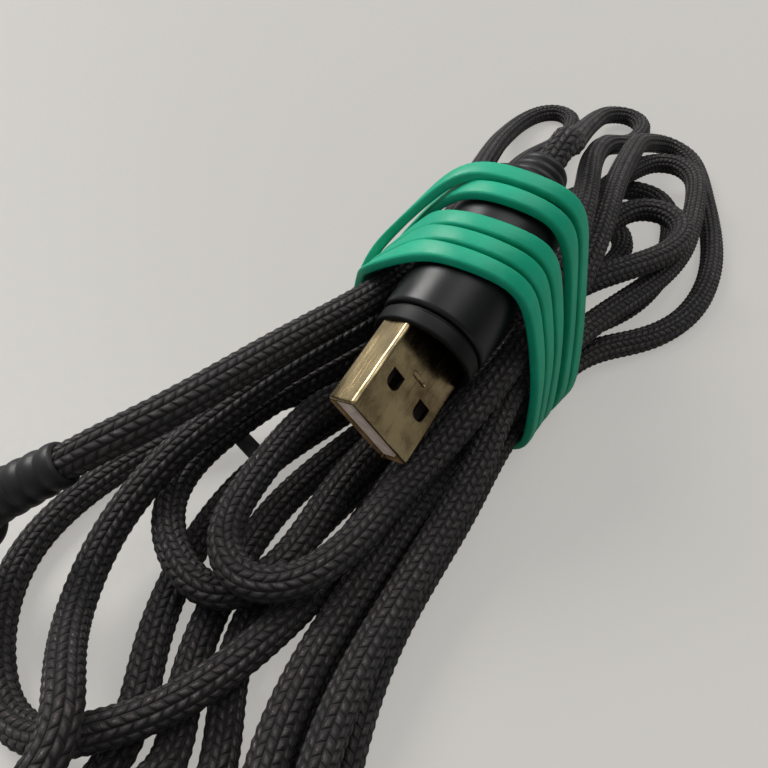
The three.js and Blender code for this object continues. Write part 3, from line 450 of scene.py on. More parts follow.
ROUTE = (
    # down from the boot and round the top far loop
    (0.022, -0.0029, 0.0322), (0.029, -0.001, 0.0284), (0.037, 0.0012, 0.025),
    (0.047, 0.0036, 0.0214), (0.058, 0.006, 0.0178), (0.069, 0.0084, 0.014),
    (0.08, 0.0106, 0.0104), (0.09, 0.0126, 0.007), (0.098, 0.0138, 0.0046),
    (0.1046, 0.0134, 0.003), (0.108, 0.0094, 0.0023), (0.1054, 0.0048, 0.0019),
    (0.098, 0.0034, 0.0021), (0.089, 0.0036, 0.0036), (0.079, 0.004, 0.0074),
    (0.068, 0.0034, 0.012), (0.056, 0.0018, 0.016), (0.043, -0.0006, 0.0194),
    (0.028, -0.005, 0.0222), (0.013, -0.0088, 0.0228), (0.0, -0.0104, 0.0198),
    (-0.013, -0.01, 0.0172),
    # the small near loop beside the plug
    (-0.02, -0.0088, 0.015), (-0.026, -0.0072, 0.0122), (-0.032, -0.0058, 0.0109),
    (-0.038, -0.0054, 0.0108), (-0.045, -0.0047, 0.0107), (-0.0506, -0.0014, 0.0107),
    (-0.0514, 0.0042, 0.0106), (-0.047, 0.0088, 0.0106), (-0.04, 0.0102, 0.0106),
    (-0.03, 0.011, 0.0106), (-0.023, 0.0106, 0.0104), (-0.013, 0.0056, 0.0089),
    (0.0, 0.0034, 0.0082), (0.013, 0.0032, 0.009),
    # the second far loop on the right
    (0.026, 0.002, 0.0108), (0.04, 0.0002, 0.011), (0.052, -0.0012, 0.0098),
    (0.063, -0.0016, 0.008), (0.0706, -0.0022, 0.0064), (0.077, -0.004, 0.0061),
    (0.0796, -0.009, 0.0061), (0.076, -0.014, 0.0061), (0.068, -0.0164, 0.0061),
    (0.058, -0.018, 0.0061), (0.047, -0.0196, 0.0061), (0.036, -0.0188, 0.0063),
    (0.025, -0.0164, 0.0074), (0.013, -0.013, 0.0082), (0.0, -0.0108, 0.0082),
    (-0.013, -0.0098, 0.0079),
    # a near loop in the upper layer
    (-0.022, -0.0074, 0.0067), (-0.032, -0.0066, 0.0062), (-0.042, -0.0069, 0.0061),
    (-0.052, -0.0071, 0.0061), (-0.062, -0.0089, 0.0061), (-0.071, -0.0128, 0.0061),
    (-0.08, -0.0156, 0.0061), (-0.0872, -0.0128, 0.0061), (-0.09, -0.007, 0.0061),
    (-0.087, -0.001, 0.0061), (-0.08, 0.001, 0.0061), (-0.073, 0.0, 0.0048),
    (-0.068, -0.001, 0.002), (-0.063, 0.0026, 0.0016), (-0.056, 0.0064, 0.0016),
    (-0.046, 0.0092, 0.0016), (-0.036, 0.0106, 0.0016), (-0.024, 0.0086, 0.0018),
    (-0.013, 0.0048, 0.0036), (0.0, 0.0034, 0.0036), (0.013, 0.0034, 0.0036),
    # the innermost far loop, on the floor
    (0.026, 0.0046, 0.0018), (0.038, 0.0062, 0.0016), (0.048, 0.0062, 0.0016),
    (0.0554, 0.0036, 0.0016), (0.0566, -0.0036, 0.0016), (0.0506, -0.0086, 0.0016),
    (0.042, -0.009, 0.0016), (0.032, -0.006, 0.0016), (0.023, -0.003, 0.0019),
    (0.013, -0.0015, 0.0035), (0.0, -0.0013, 0.0036), (-0.013, -0.0003, 0.0036),
    # a near loop on the floor
    (-0.024, 0.0024, 0.0018), (-0.036, 0.0046, 0.0016), (-0.047, 0.0042, 0.0016),
    (-0.056, 0.0016, 0.0016), (-0.062, -0.0026, 0.0016), (-0.068, -0.0062, 0.0016),
    (-0.074, -0.0056, 0.0016), (-0.08, -0.001, 0.0016), (-0.087, -0.0016, 0.0016),
    (-0.0902, -0.0074, 0.0016), (-0.0874, -0.0134, 0.0016), (-0.08, -0.0156, 0.0016),
    (-0.071, -0.013, 0.0016), (-0.062, -0.0094, 0.0016), (-0.052, -0.0068, 0.0016),
    (-0.04, -0.0064, 0.0016), (-0.024, -0.0064, 0.0018), (-0.013, -0.0054, 0.0036),
    (0.0, -0.006, 0.0036), (0.013, -0.007, 0.0035),
    # the third far loop on the right, rising to the left
    (0.024, -0.013, 0.0019), (0.034, -0.0166, 0.0016), (0.045, -0.0174, 0.0016),
    (0.056, -0.0156, 0.0016), (0.066, -0.013, 0.0016), (0.0724, -0.008, 0.0016),
    (0.0714, -0.0016, 0.0019), (0.0654, 0.002, 0.0034), (0.058, 0.0032, 0.0058),
    (0.049, 0.0039, 0.008), (0.038, 0.0054, 0.0102), (0.026, 0.0068, 0.0121),
    (0.013, 0.0078, 0.0126), (0.0, 0.0082, 0.0127), (-0.013, 0.0098, 0.0128),
    # the short near loop on the left
    (-0.022, 0.0154, 0.0108), (-0.032, 0.021, 0.007), (-0.0405, 0.0218, 0.0061),
    (-0.047, 0.0186, 0.0061), (-0.0514, 0.0126, 0.0061), (-0.0528, 0.0066, 0.0061),
    (-0.049, 0.0026, 0.0061), (-0.0424, 0.0018, 0.0061), (-0.0344, 0.003, 0.0062),
    (-0.025, 0.003, 0.0065), (-0.013, -0.0003, 0.0082), (0.0, -0.0013, 0.0084),
    (0.013, -0.002, 0.012),
    # the short far loop that lies on top
    (0.024, -0.0052, 0.0128), (0.034, -0.0062, 0.0112), (0.041, -0.0068, 0.0109),
    (0.0474, -0.009, 0.0108), (0.0492, -0.0136, 0.0107), (0.0466, -0.0182, 0.0107),
    (0.0406, -0.0196, 0.0108), (0.033, -0.018, 0.0111), (0.0236, -0.0132, 0.0122),
    (0.013, -0.0076, 0.0128), (0.0, -0.006, 0.0088), (-0.013, -0.0049, 0.0082),
    # the wide near loop on the left, which reaches furthest across
    (-0.022, -0.0028, 0.0066), (-0.031, -0.0016, 0.0036), (-0.039, -0.0018, 0.0026),
    (-0.0464, -0.0028, 0.0055), (-0.053, -0.002, 0.0061), (-0.06, -0.0004, 0.0063),
    (-0.066, 0.0024, 0.0065), (-0.0702, 0.0062, 0.0065), (-0.0728, 0.011, 0.0038),
    (-0.073, 0.017, 0.0017), (-0.07, 0.023, 0.0016), (-0.0646, 0.029, 0.0016),
    (-0.057, 0.0334, 0.0016), (-0.047, 0.034, 0.0018), (-0.036, 0.03, 0.0032),
    (-0.024, 0.0208, 0.006), (-0.013, 0.0104, 0.0079), (0.0, 0.0082, 0.0082),
    (0.013, 0.0084, 0.008),
    # the low far loop on the left
    (0.028, 0.0084, 0.0069), (0.041, 0.0079, 0.0062), (0.052, 0.0084, 0.005),
    (0.0608, 0.0098, 0.0028), (0.065, 0.0148, 0.0016), (0.0616, 0.0206, 0.0016),
    (0.054, 0.0228, 0.0016), (0.046, 0.0214, 0.0016), (0.037, 0.0178, 0.0016),
    (0.025, 0.0126, 0.0019), (0.013, 0.009, 0.0036), (0.0, 0.0082, 0.0036),
    (-0.013, 0.0098, 0.0035),
    # the long near loop on the floor
    (-0.022, 0.014, 0.0019), (-0.032, 0.0168, 0.0016), (-0.042, 0.0164, 0.0016),
    (-0.052, 0.014, 0.0016), (-0.06, 0.01, 0.0016), (-0.066, 0.0058, 0.0016),
    (-0.073, 0.0042, 0.0016), (-0.08, 0.006, 0.0016), (-0.0886, 0.0044, 0.0016),
    (-0.0946, -0.002, 0.0016), (-0.0948, -0.012, 0.0016), (-0.089, -0.0196, 0.0016),
    (-0.079, -0.0212, 0.0016), (-0.069, -0.0186, 0.0016), (-0.059, -0.015, 0.0016),
    (-0.048, -0.0118, 0.0016), (-0.036, -0.011, 0.0016), (-0.024, -0.011, 0.0018),
    (-0.013, -0.01, 0.0035), (0.0, -0.0108, 0.0036), (0.013, -0.0132, 0.0035),
    # the outermost far loop on the right
    (0.021, -0.0194, 0.0018), (0.029, -0.024, 0.0016), (0.04, -0.0258, 0.0016),
    (0.053, -0.0244, 0.0016), (0.066, -0.0206, 0.0016), (0.077, -0.0166, 0.0016),
    (0.0866, -0.0132, 0.0016), (0.0934, -0.0092, 0.002), (0.094, -0.0034, 0.0034),
    (0.088, -0.0007, 0.0054), (0.079, -0.0006, 0.0089), (0.07, -0.002, 0.0123),
    (0.06, -0.0034, 0.0146), (0.048, -0.005, 0.0166), (0.036, -0.007, 0.018),
    (0.024, -0.0094, 0.0184), (0.013, -0.0108, 0.017), (0.0, -0.0108, 0.0141),
    (-0.013, -0.01, 0.0125),
    # the long near loop in the upper layer
    (-0.022, -0.012, 0.0101), (-0.032, -0.0116, 0.0074), (-0.043, -0.0116, 0.0061),
    (-0.053, -0.0121, 0.0061), (-0.063, -0.0142, 0.0061), (-0.071, -0.018, 0.0061),
    (-0.079, -0.021, 0.0061), (-0.089, -0.0196, 0.0061), (-0.0948, -0.012, 0.0061),
    (-0.0946, -0.002, 0.0061), (-0.0886, 0.0044, 0.0064), (-0.08, 0.006, 0.0086),
    (-0.0736, 0.005, 0.011), (-0.07, 0.0082, 0.0112), (-0.0664, 0.0132, 0.0088),
    (-0.061, 0.0184, 0.0062), (-0.053, 0.0218, 0.0074), (-0.044, 0.0212, 0.011),
    (-0.034, 0.018, 0.014), (-0.0236, 0.0138, 0.0166), (-0.013, 0.0086, 0.0179),
    (0.0, 0.0083, 0.0175), (0.013, 0.0087, 0.0172),
    # the far loop on the left
    (0.028, 0.0114, 0.0152), (0.042, 0.0144, 0.0122), (0.057, 0.017, 0.009),
    (0.071, 0.0182, 0.0052), (0.084, 0.0182, 0.0022), (0.0934, 0.0188, 0.0016),
    (0.1004, 0.021, 0.0016), (0.1026, 0.0256, 0.0016), (0.099, 0.03, 0.0016),
    (0.09, 0.0314, 0.0018), (0.077, 0.029, 0.0046), (0.063, 0.0252, 0.009), (0.047, 0.0202, 0.014),
    (0.028, 0.0144, 0.019), (0.013, 0.0094, 0.0216), (0.0, 0.008, 0.0224),
    (-0.013, 0.0076, 0.0232),
    # out to the micro-B plug
    (-0.022, 0.0094, 0.0238), (-0.031, 0.0116, 0.0242), (-0.039, 0.0134, 0.0243),
    (-0.0455, 0.015, 0.0244),
)

CORD = 0.004  # the cord's diameter
BRAID_GROOVE, BRAID_HIGH, BRAID_LOW = -0.00010, 0.00009, -0.00004  # off the cord's radius
MICRO_BACK = Euler(MICRO_TURN, "XYZ").to_matrix() @ Vector((1, 0, 0))
CORD_START = USB_TIP + USB_BACK * 0.04465
CORD_END = WAIST + Vector((-0.0548, 0.023, 0.020))
MICRO_TIP = CORD_END - MICRO_BACK * 0.0389
LEADS = (0.0, 0.0042, 0.006)


def cord_controls():
    start = [CORD_START + USB_BACK * lead for lead in LEADS]
    end = [CORD_END + MICRO_BACK * lead for lead in reversed(LEADS)]
    return np.array([list(p) for p in start + [WAIST + Vector(p) for p in ROUTE] + end])


def smooth_line(controls, steps):
    """Points of the uniform cubic B-spline through a row of control points."""
    p = np.vstack([2 * controls[0] - controls[1], controls, 2 * controls[-1] - controls[-2]])
    f = (np.arange(steps) / steps)[:, None]
    rows = []
    for i in range(len(controls) - 1):
        a, b, c, d = p[i:i + 4]
        rows.append(((1 - f) ** 3 * a + (3 * f ** 3 - 6 * f ** 2 + 4) * b
                     + (-3 * f ** 3 + 3 * f ** 2 + 3 * f + 1) * c + f ** 3 * d) / 6)
    rows.append(controls[-1:])
    return np.vstack(rows)


def even_steps(line, step):
    """The same line with its points at equal distances, of about the given step."""
    gone = np.concatenate([[0], np.cumsum(np.linalg.norm(np.diff(line, axis=0), axis=1))])
    count = int(round(gone[-1] / step))
    at = np.linspace(0, gone[-1], count + 1)
    return np.stack([np.interp(at, gone, line[:, k]) for k in range(3)], 1), gone[-1]


def frames_along(line):
    """For each point of a line its direction and two directions across it, without twist."""
    way = np.gradient(line, axis=0)
    way /= np.linalg.norm(way, axis=1)[:, None]
    across = np.zeros_like(line)
    now = np.array([0.0, 0.0, 1.0])
    for i, w in enumerate(way):
        now = now - w * now.dot(w)
        now /= np.linalg.norm(now)
        across[i] = now
    return way, across, np.cross(way, across)


def uv_from(mesh, name, values):
    layer = mesh.uv_layers.new(name=name)
    layer.data.foreach_set("uv", np.asarray(values, np.float32).ravel())


def tube_faces(rings, sides):
    """Quads between the rings, and each quad corner's ring and side number."""
    i, k = np.meshgrid(np.arange(rings - 1), np.arange(sides), indexing="ij")
    i, k = i.ravel(), k.ravel()
    n = (k + 1) % sides
    quads = np.stack([i * sides + k, i * sides + n, (i + 1) * sides + n, (i + 1) * sides + k], 1)
    at = np.stack([np.stack([k, i], 1), np.stack([k + 1, i], 1),
                   np.stack([k + 1, i + 1], 1), np.stack([k, i + 1], 1)], 1).reshape(-1, 2)
    return quads.tolist(), at.astype(float)


def braided_cord():
    """The cord as one tube, two sides to a column of the braid and two rings to a grain."""
    columns = 12
    sides = 2 * columns
    grain_step = 0.00128
    inside = 0.002  # how far the braid runs on into each boot
    line = smooth_line(cord_controls(), 24)
    full, length = even_steps(line, grain_step / 2)
    lead_in = np.array([list(CORD_START - USB_BACK * inside * s) for s in (1.0, 0.67, 0.33)])
    lead_out = np.array([list(CORD_END - MICRO_BACK * inside * s) for s in (0.33, 0.67, 1.0)])
    centres = np.vstack([lead_in, full, lead_out])
    _, across, side = frames_along(centres)
    rings = len(centres)
    ring, k = np.meshgrid(np.arange(rings), np.arange(sides), indexing="ij")
    column = k // 2
    on_border = k % 2 == 0
    raised = (ring + column) % 2 == 1
    radius = CORD / 2 + np.where(on_border, BRAID_GROOVE, np.where(raised, BRAID_HIGH, BRAID_LOW))
    turn = 2 * np.pi * k / sides
    points = (centres[:, None, :] + across[:, None, :] * (radius * np.cos(turn))[..., None]
              + side[:, None, :] * (radius * np.sin(turn))[..., None]).reshape(-1, 3)
    points[:, 2] = np.maximum(points[:, 2], 0.00002)  # it lies flattened on the surface
    quads, at = tube_faces(rings, sides)
    caps = [list(range(sides))[::-1], [(rings - 1) * sides + j for j in range(sides)]]
    cord = mesh_piece(points.tolist(), quads + caps)
    uv = np.vstack([at / 2, np.zeros((2 * sides, 2))])
    uv_from(cord.data, "plait", uv)
    cord.data.polygons.foreach_set("use_smooth", [True] * len(cord.data.polygons))
    finish_piece(cord, "cord", "cord_braid", "cable", "braided_cord")
    path = full[:-1:2].tolist() + [full[-1].tolist()]
    return cord, path, length, line


cord, cord_path, cord_length, cord_line = braided_cord()


# ---------------------------------------------------------------- the rubber band

BAND_WIDTH = 0.00205
BAND_THICKNESS = 0.00125
BAND_FIT = 0.0007  # between the band and what it holds
BAND_PITCH = 0.0024
BAND_HUMP = 0.0016  # lift of the last turn where it crosses the others
BAND_CROSS = (0.54, 0.84)  # where in its turn it crosses
BAND_UNDER = [-0.0086 + turn * BAND_PITCH for turn in range(5)]
BAND_OVER = (-0.0150, -0.0126, -0.0102, -0.0051, -0.0024)
BAND_SLACK = (0.0015, 0.0017, 0.0021, 0.0025, 0.0030)
BAND_ROUNDING = 0.24  # of the corners of its section, as a share of its thickness
BAND_STATIONS = 96  # in one turn
BAND_SMOOTHING = 11  # rounds of smoothing
HOUSING_RADIUS = 0.007


def ease(t, a, b):
    f = min(1.0, max(0.0, (t - a) / (b - a)))
    return f * f * (3 - 2 * f)


def waist_circles(x, line):
    """Where the cords and the plug's barrel cross the plane at x: rows of y, z and radius."""
    crossing = np.nonzero((line[:-1, 0] - x) * (line[1:, 0] - x) <= 0)[0]
    a, b = line[crossing], line[crossing + 1]
    run = np.abs(b[:, 0] - a[:, 0])
    a, b, run = a[run > 1e-9], b[run > 1e-9], run[run > 1e-9]
    f = ((x - a[:, 0]) / (b[:, 0] - a[:, 0]))[:, None]
    at = a + (b - a) * f
    slant = np.linalg.norm(b - a, axis=1) / run
    rows = np.stack([at[:, 1], at[:, 2], slant * CORD / 2], 1)
    middle = USB_TIP - WAIST + USB_BACK * ((x - (USB_TIP - WAIST).x) / USB_BACK.x)
    return np.vstack([rows, [middle.y, middle.z, HOUSING_RADIUS / USB_BACK.x]])


def band_slack(turn, t):
    """How far a turn has slid along the hank on the side where the loops run out."""
    return BAND_SLACK[turn] * ease(t, 0.05, 0.24) * ease(t, 0.46, 0.28)


def band_place(turn, t):
    """The middle of the band along the hank, and its lift, at a share t of one of its turns."""
    turns = len(BAND_UNDER)
    under = BAND_UNDER[turn] if t < 0.5 else BAND_UNDER[(turn + 1) % turns]
    share = ease(t if t < 0.5 else 1 - t, 0, 0.5)
    if turn < turns - 1 or t < 0.5:
        return under + (BAND_OVER[turn] - under) * share, 0.0
    outside = under + (BAND_OVER[0] - BAND_PITCH - under) * share
    start, end = BAND_CROSS
    x = outside + (BAND_OVER[turn] - outside) * ease(t, end, start)
    return x, BAND_HUMP * ease(t, start - 0.02, start + 0.05) * ease(t, end + 0.08, end)


def band_section(corners):
    """Places round the band's section, from 0 to 1 across its width and up its thickness."""
    round_u = BAND_THICKNESS * BAND_ROUNDING / BAND_WIDTH
    round_v = BAND_ROUNDING
    section = []
    for u, v, first in ((1, 1, 0.0), (0, 1, 0.25), (0, 0, 0.5), (1, 0, 0.75)):
        for step in range(corners):
            angle = 2 * math.pi * (first + 0.25 * step / (corners - 1))
            section.append(((1 - round_u if u else round_u) + round_u * math.cos(angle),
                            (1 - round_v if v else round_v) + round_v * math.sin(angle)))
    return section


def even_rings(rings):
    """The same closed band with its rings at equal distances round it."""
    closed = np.vstack([rings, rings[:1]]).reshape(len(rings) + 1, -1)
    steps = np.linalg.norm(np.diff(closed.reshape(len(rings) + 1, 4, 3).mean(1), axis=0), axis=1)
    gone = np.concatenate([[0], np.cumsum(steps)])
    at = np.linspace(0, gone[-1], len(rings), endpoint=False)
    return np.stack([np.interp(at, gone, column) for column in closed.T], 1).reshape(-1, 4, 3)


def rubber_band():
    line = cord_line - np.array(WAIST)
    stations = BAND_STATIONS
    section = band_section(4)
    rings = []
    for turn in range(len(BAND_UNDER)):
        for station in range(stations):
            t = station / stations
            x, lift = band_place(turn, t)
            x += band_slack(turn, t)
            angle = -math.pi / 2 - 2 * math.pi * t
            following = angle - 2 * math.pi / stations
            edges = []
            for dx in (-BAND_WIDTH / 2, BAND_WIDTH / 2):
                circles = waist_circles(x + dx, line)
                for rise in (0.0, BAND_THICKNESS):
                    out = [np.max(circles[:, 0] * math.cos(a) + circles[:, 1] * math.sin(a)
                                  + circles[:, 2]) + BAND_FIT + lift + rise
                           for a in (angle, following)]
                    s = math.sin(following - angle)
                    y = (out[0] * math.sin(following) - out[1] * math.sin(angle)) / s
                    z = (out[1] * math.cos(angle) - out[0] * math.cos(following)) / s
                    edges.append((x + dx, y, z))
            rings.append(edges)
    rings = even_rings(np.array(rings))
    for _ in range(BAND_SMOOTHING):  # rubber rounds the corners that the cords press into it
        rings = rings * 0.5 + (np.roll(rings, 1, 0) + np.roll(rings, -1, 0)) * 0.25
    points = []
    for low_near, high_near, low_far, high_far in rings:
        for u, v in section:
            near = low_near + (high_near - low_near) * v
            far = low_far + (high_far - low_far) * v
            points.append(tuple(near + (far - near) * u + np.array(WAIST)))
    count, sides = len(rings), len(section)
    quads, at = tube_faces(count + 1, sides)
    quads = [[index % (count * sides) for index in quad] for quad in quads]
    points = np.array(points)
    points[:, 2] = np.maximum(points[:, 2], 0.00002)
    band = mesh_piece(points.tolist(), quads)
    around = 2 * math.pi * 0.018 / stations  # about one step round the hank
    uv_from(band.data, "band", at * np.array([1 / sides, around / 0.0026]))
    only(band)
    bpy.ops.object.mode_set(mode="EDIT")
    bpy.ops.mesh.select_all(action="SELECT")
    bpy.ops.mesh.normals_make_consistent(inside=False)
    bpy.ops.object.mode_set(mode="OBJECT")
    bpy.ops.object.shade_smooth()
    return finish_piece(band, "band", "green_rubber", "cable", "rubber_band")


rubber_band()


# ---------------------------------------------------------------- the wire tie's cut end

def wire_tie():
    """A flat plastic strip with a rounded rib over its wire, lying among the cords."""
    line = np.array([(-0.0300, 0.0220, 0.0049), (-0.0309, 0.0194, 0.0048),
                     (-0.0318, 0.0168, 0.0047), (-0.0326, 0.0142, 0.0046)])
    points = smooth_line(line, 6) + np.array(WAIST)
    _, up, side = frames_along(points)
    # across the strip and up from its middle, in millimetres
    profile = [(-1.18, -0.22), (-1.18, 0.12), (-1.02, 0.24), (-0.5, 0.24), (-0.34, 0.36),
               (0, 0.42), (0.34, 0.36), (0.5, 0.24), (1.02, 0.24), (1.18, 0.12), (1.18, -0.22),
               (1.02, -0.34), (-1.02, -0.34)]
    rings = [[tuple(p + s * a / 1000 + u * b / 1000) for a, b in profile]
             for p, u, s in zip(points, up, side)]
    sides = len(profile)
    quads, _ = tube_faces(len(rings), sides)
    caps = [list(range(sides))[::-1], [(len(rings) - 1) * sides + j for j in range(sides)]]
    tie = mesh_piece([p for ring in rings for p in ring], quads + caps)
    only(tie)
    bpy.ops.object.mode_set(mode="EDIT")
    bpy.ops.mesh.select_all(action="SELECT")
    bpy.ops.mesh.normals_make_consistent(inside=False)
    bpy.ops.object.mode_set(mode="OBJECT")
    smooth(tie, 35)
    return finish_piece(tie, "tie", "tie_plastic", "cable", "wire_tie")


wire_tie()


# ---------------------------------------------------------------- the USB-A plug

WINDOW_START, WINDOW_END = 0.0047, 0.0069  # from the mouth
WINDOW_PLACE, WINDOW_HALF_WIDTH = 0.00295, 0.00115  # sideways
DIMPLE_PLACE = 0.0084  # from the mouth
DIMPLE_RADIUS = 0.00064  # of the bar that cuts the crimp mark
DIMPLE_REACH = 0.00100  # its half height
DIMPLE_RAISED = 0.00075  # its middle over the shell
DIMPLE_HALF_LENGTH = 0.0010  # of its straight part


def dimple_tool(radius, depth, place):
    """A round-ended bar across the plug, which cuts the crimp mark."""
    bpy.ops.object.select_all(action="DESELECT")
    bpy.ops.mesh.primitive_uv_sphere_add(segments=32, ring_count=16, radius=1)
    tool = bpy.context.object
    for vertex in tool.data.vertices:
        x, y, z = vertex.co
        along = y * radius + math.copysign(DIMPLE_HALF_LENGTH, y)
        vertex.co = (place[0] + x * radius, place[1] + along, place[2] + z * depth)
    return tool


def usb_shell():
    """Bent sheet with rounded long edges, two latch windows and a crimp mark on each wide side,
    and the folded seam along one of them."""
    length, half_width, half_height, wall = 0.01625, 0.006, 0.00225, 0.0003
    shell = block((0, -half_width, -half_height), (length, half_width, half_height))
    rounded_edges(shell, lambda middle, way: abs(way.x) > 0.9, 0.00055, 5)
    bore = block((-0.001, -half_width + wall, -half_height + wall),
                 (length + 0.001, half_width - wall, half_height - wall))
    rounded_edges(bore, lambda middle, way: abs(way.x) > 0.9, 0.00028, 4)
    cut(shell, bore)
    for side in (-1, 1):
        window = block((WINDOW_START, side * WINDOW_PLACE - WINDOW_HALF_WIDTH, -0.004),
                       (WINDOW_END, side * WINDOW_PLACE + WINDOW_HALF_WIDTH, 0.004))
        rounded_edges(window, lambda middle, way: abs(way.z) > 0.9 and middle.x < 0.005, 0.0009, 5)
        cut(shell, window)
        cut(shell, dimple_tool(DIMPLE_RADIUS, DIMPLE_REACH,
                               (DIMPLE_PLACE, 0, side * (half_height + DIMPLE_RAISED))))
    seam = block((-0.001, -0.00004, -half_height - 0.001),
                 (0.0044, 0.00004, -half_height + 0.00012))
    cut(shell, seam)
    rounded_edges(shell, lambda middle, way: middle.x < 1e-5 and abs(way.x) < 0.1, 0.00007, 2)
    smooth(shell, 32)
    apply_modifier(shell, "WEIGHTED_NORMAL", keep_sharp=True, weight=100)
    set_down(shell, USB_TURN, USB_TIP)
    return finish_piece(shell, "usb_a_bent_shell", "gold_plated_shell", "cable", "usb_a_shell")


def collar(name, start, length, radius, bore, turn, tip, node):
    edge = 0.00035
    profile = [(start, bore), (start, radius - edge)]
    for step in range(1, 5):
        angle = math.pi / 2 * step / 4
        profile.append((start + edge * (1 - math.cos(angle)), radius - edge * (1 - math.sin(angle))))
    spigot = 0.00026  # closes the gap to the barrel
    profile += [(start + length - 0.0003, radius), (start + length, radius - 0.0004),
                (start + length + spigot, radius - 0.0004), (start + length + spigot, bore), (start, bore)]
    ring = turned_piece(profile)
    smooth(ring, 40)
    set_down(ring, turn, tip)
    return finish_piece(ring, name, "gloss_black_plastic", "cable", node)


def barrel(name, start, length, radius, wall, end_wall, front_bore, back_bore, turn, tip, node):
    """The moulded barrel: rounded rims, a fine parting line and a hollow inside."""
    edge = 0.0006
    profile = [(start, front_bore), (start, radius - edge)]
    for step in range(1, 6):
        angle = math.pi / 2 * step / 5
        profile.append((start + edge * (1 - math.cos(angle)), radius - edge * (1 - math.sin(angle))))
    finish_line = start + length - 0.0016
    for along, drop in ((0, 0), (0.0001, 0.00009), (0.00022, 0.00009), (0.00032, 0)):
        profile.append((finish_line + along, radius - drop))
    for step in range(0, 6):
        angle = math.pi / 2 * step / 5
        profile.append((start + length - edge * (1 - math.sin(angle)), radius - edge * (1 - math.cos(angle))))
    profile += [(start + length, back_bore), (start + length - end_wall, back_bore),
                (start + length - end_wall, radius - wall), (start + end_wall, radius - wall),
                (start + end_wall, front_bore), (start, front_bore)]
    tube = turned_piece(profile, 96)
    smooth(tube, 30)
    set_down(tube, turn, tip)
    return finish_piece(tube, name, "satin_black_plastic", "cable", node)


# the rise of one rib of a boot: share of its pitch, share of its height
RIB = ((0, 0), (0.12, 0.3), (0.26, 0.85), (0.42, 1.0), (0.6, 0.97), (0.78, 0.7), (0.9, 0.2))


def boot(name, start, length, root, end, ribs, rise, bore, turn, tip, node):
    """A strain relief: a flange, and ribs that shrink towards the cord."""
    flange = 0.0016
    pitch = (length - flange) / ribs
    profile = [(start, bore), (start, root - 0.0003), (start + 0.0003, root), (start + flange - 0.0006, root),
               (start + flange - 0.0003, root - 0.0002)]
    for rib in range(ribs):
        for share, lift in RIB:
            x = start + flange + (rib + share) * pitch
            taper = (x - start - flange) / (length - flange)
            neck = root + (end - root) * (0.25 + 0.75 * taper)
            profile.append((x, neck - rise + lift * rise))
    profile += [(start + length - 0.0002, end - rise), (start + length, end - rise - 0.0002)]
    wide = CORD / 2 + 0.00006
    profile += [(start + length, wide), (start + length - 0.0042, wide),
                (start + length - 0.0044, bore), (start, bore)]
    relief = turned_piece(profile, 64)
    smooth(relief, 50)
    set_down(relief, turn, tip)
    return finish_piece(relief, name, "boot_plastic", "cable", node)


usb_shell()
collar("usb_a_trim_ring", 0.01175, 0.0022, 0.0067, 0.00608, USB_TURN, USB_TIP, "usb_a_collar")
barrel("usb_a_barrel", 0.01425, 0.0236, 0.0070, 0.0013, 0.0024, 0.00608, 0.0016,
       USB_TURN, USB_TIP, "usb_a_housing")
boot("usb_a_strain_relief", 0.03815, 0.0062, 0.0048, 0.0033, 3, 0.00045, 0.0016,
     USB_TURN, USB_TIP, "usb_a_boot")


# ---------------------------------------------------------------- the micro-B plug

def micro_shell():
    """Drawn shell with its two lower corners cut, and a slot over each latch hook."""
    half_width, half_height, length, wall = 0.003425, 0.0009, 0.0107, 0.00025
    def tube(low, high, inset, corner):
        piece = block((low, -half_width + inset, -half_height + inset),
                      (high, half_width - inset, half_height - inset))
        rounded_edges(piece, lambda middle, way: abs(way.x) > 0.9 and middle.z < 0, 0.00076 - inset * 0.3, 1)
        rounded_edges(piece, lambda middle, way: abs(way.x) > 0.9, corner, 3)
        return piece
    shell = tube(0, length, 0, 0.00022)
    cut(shell, tube(-0.001, length + 0.001, wall, 0.0001))
    for side in (-1, 1):
        slot = block((0.0016, side * 0.00255 - 0.00045, 0.0003), (0.0033, side * 0.00255 + 0.00045, 0.002))
        cut(shell, slot)
    smooth(shell, 32)
    apply_modifier(shell, "WEIGHTED_NORMAL", keep_sharp=True, weight=100)
    set_down(shell, MICRO_TURN, MICRO_TIP)
    return finish_piece(shell, "micro_drawn_shell", "gold_plated_shell", "cable", "micro_shell",
                        finish="gold_micro")


micro_pieces = [
    micro_shell(),
    collar("micro_trim_ring", 0.0066, 0.0018, 0.004525, 0.0036,
           MICRO_TURN, MICRO_TIP, "micro_collar"),
    barrel("micro_barrel", 0.0087, 0.0190, 0.004825, 0.0011, 0.0024, 0.0036, 0.0016,
           MICRO_TURN, MICRO_TIP, "micro_housing"),
    boot("micro_strain_relief", 0.0280, 0.0124, 0.0031, 0.00255, 5, 0.00026, 0.0016,
         MICRO_TURN, MICRO_TIP, "micro_boot"),
]


# ---------------------------------------------------------------- table and light

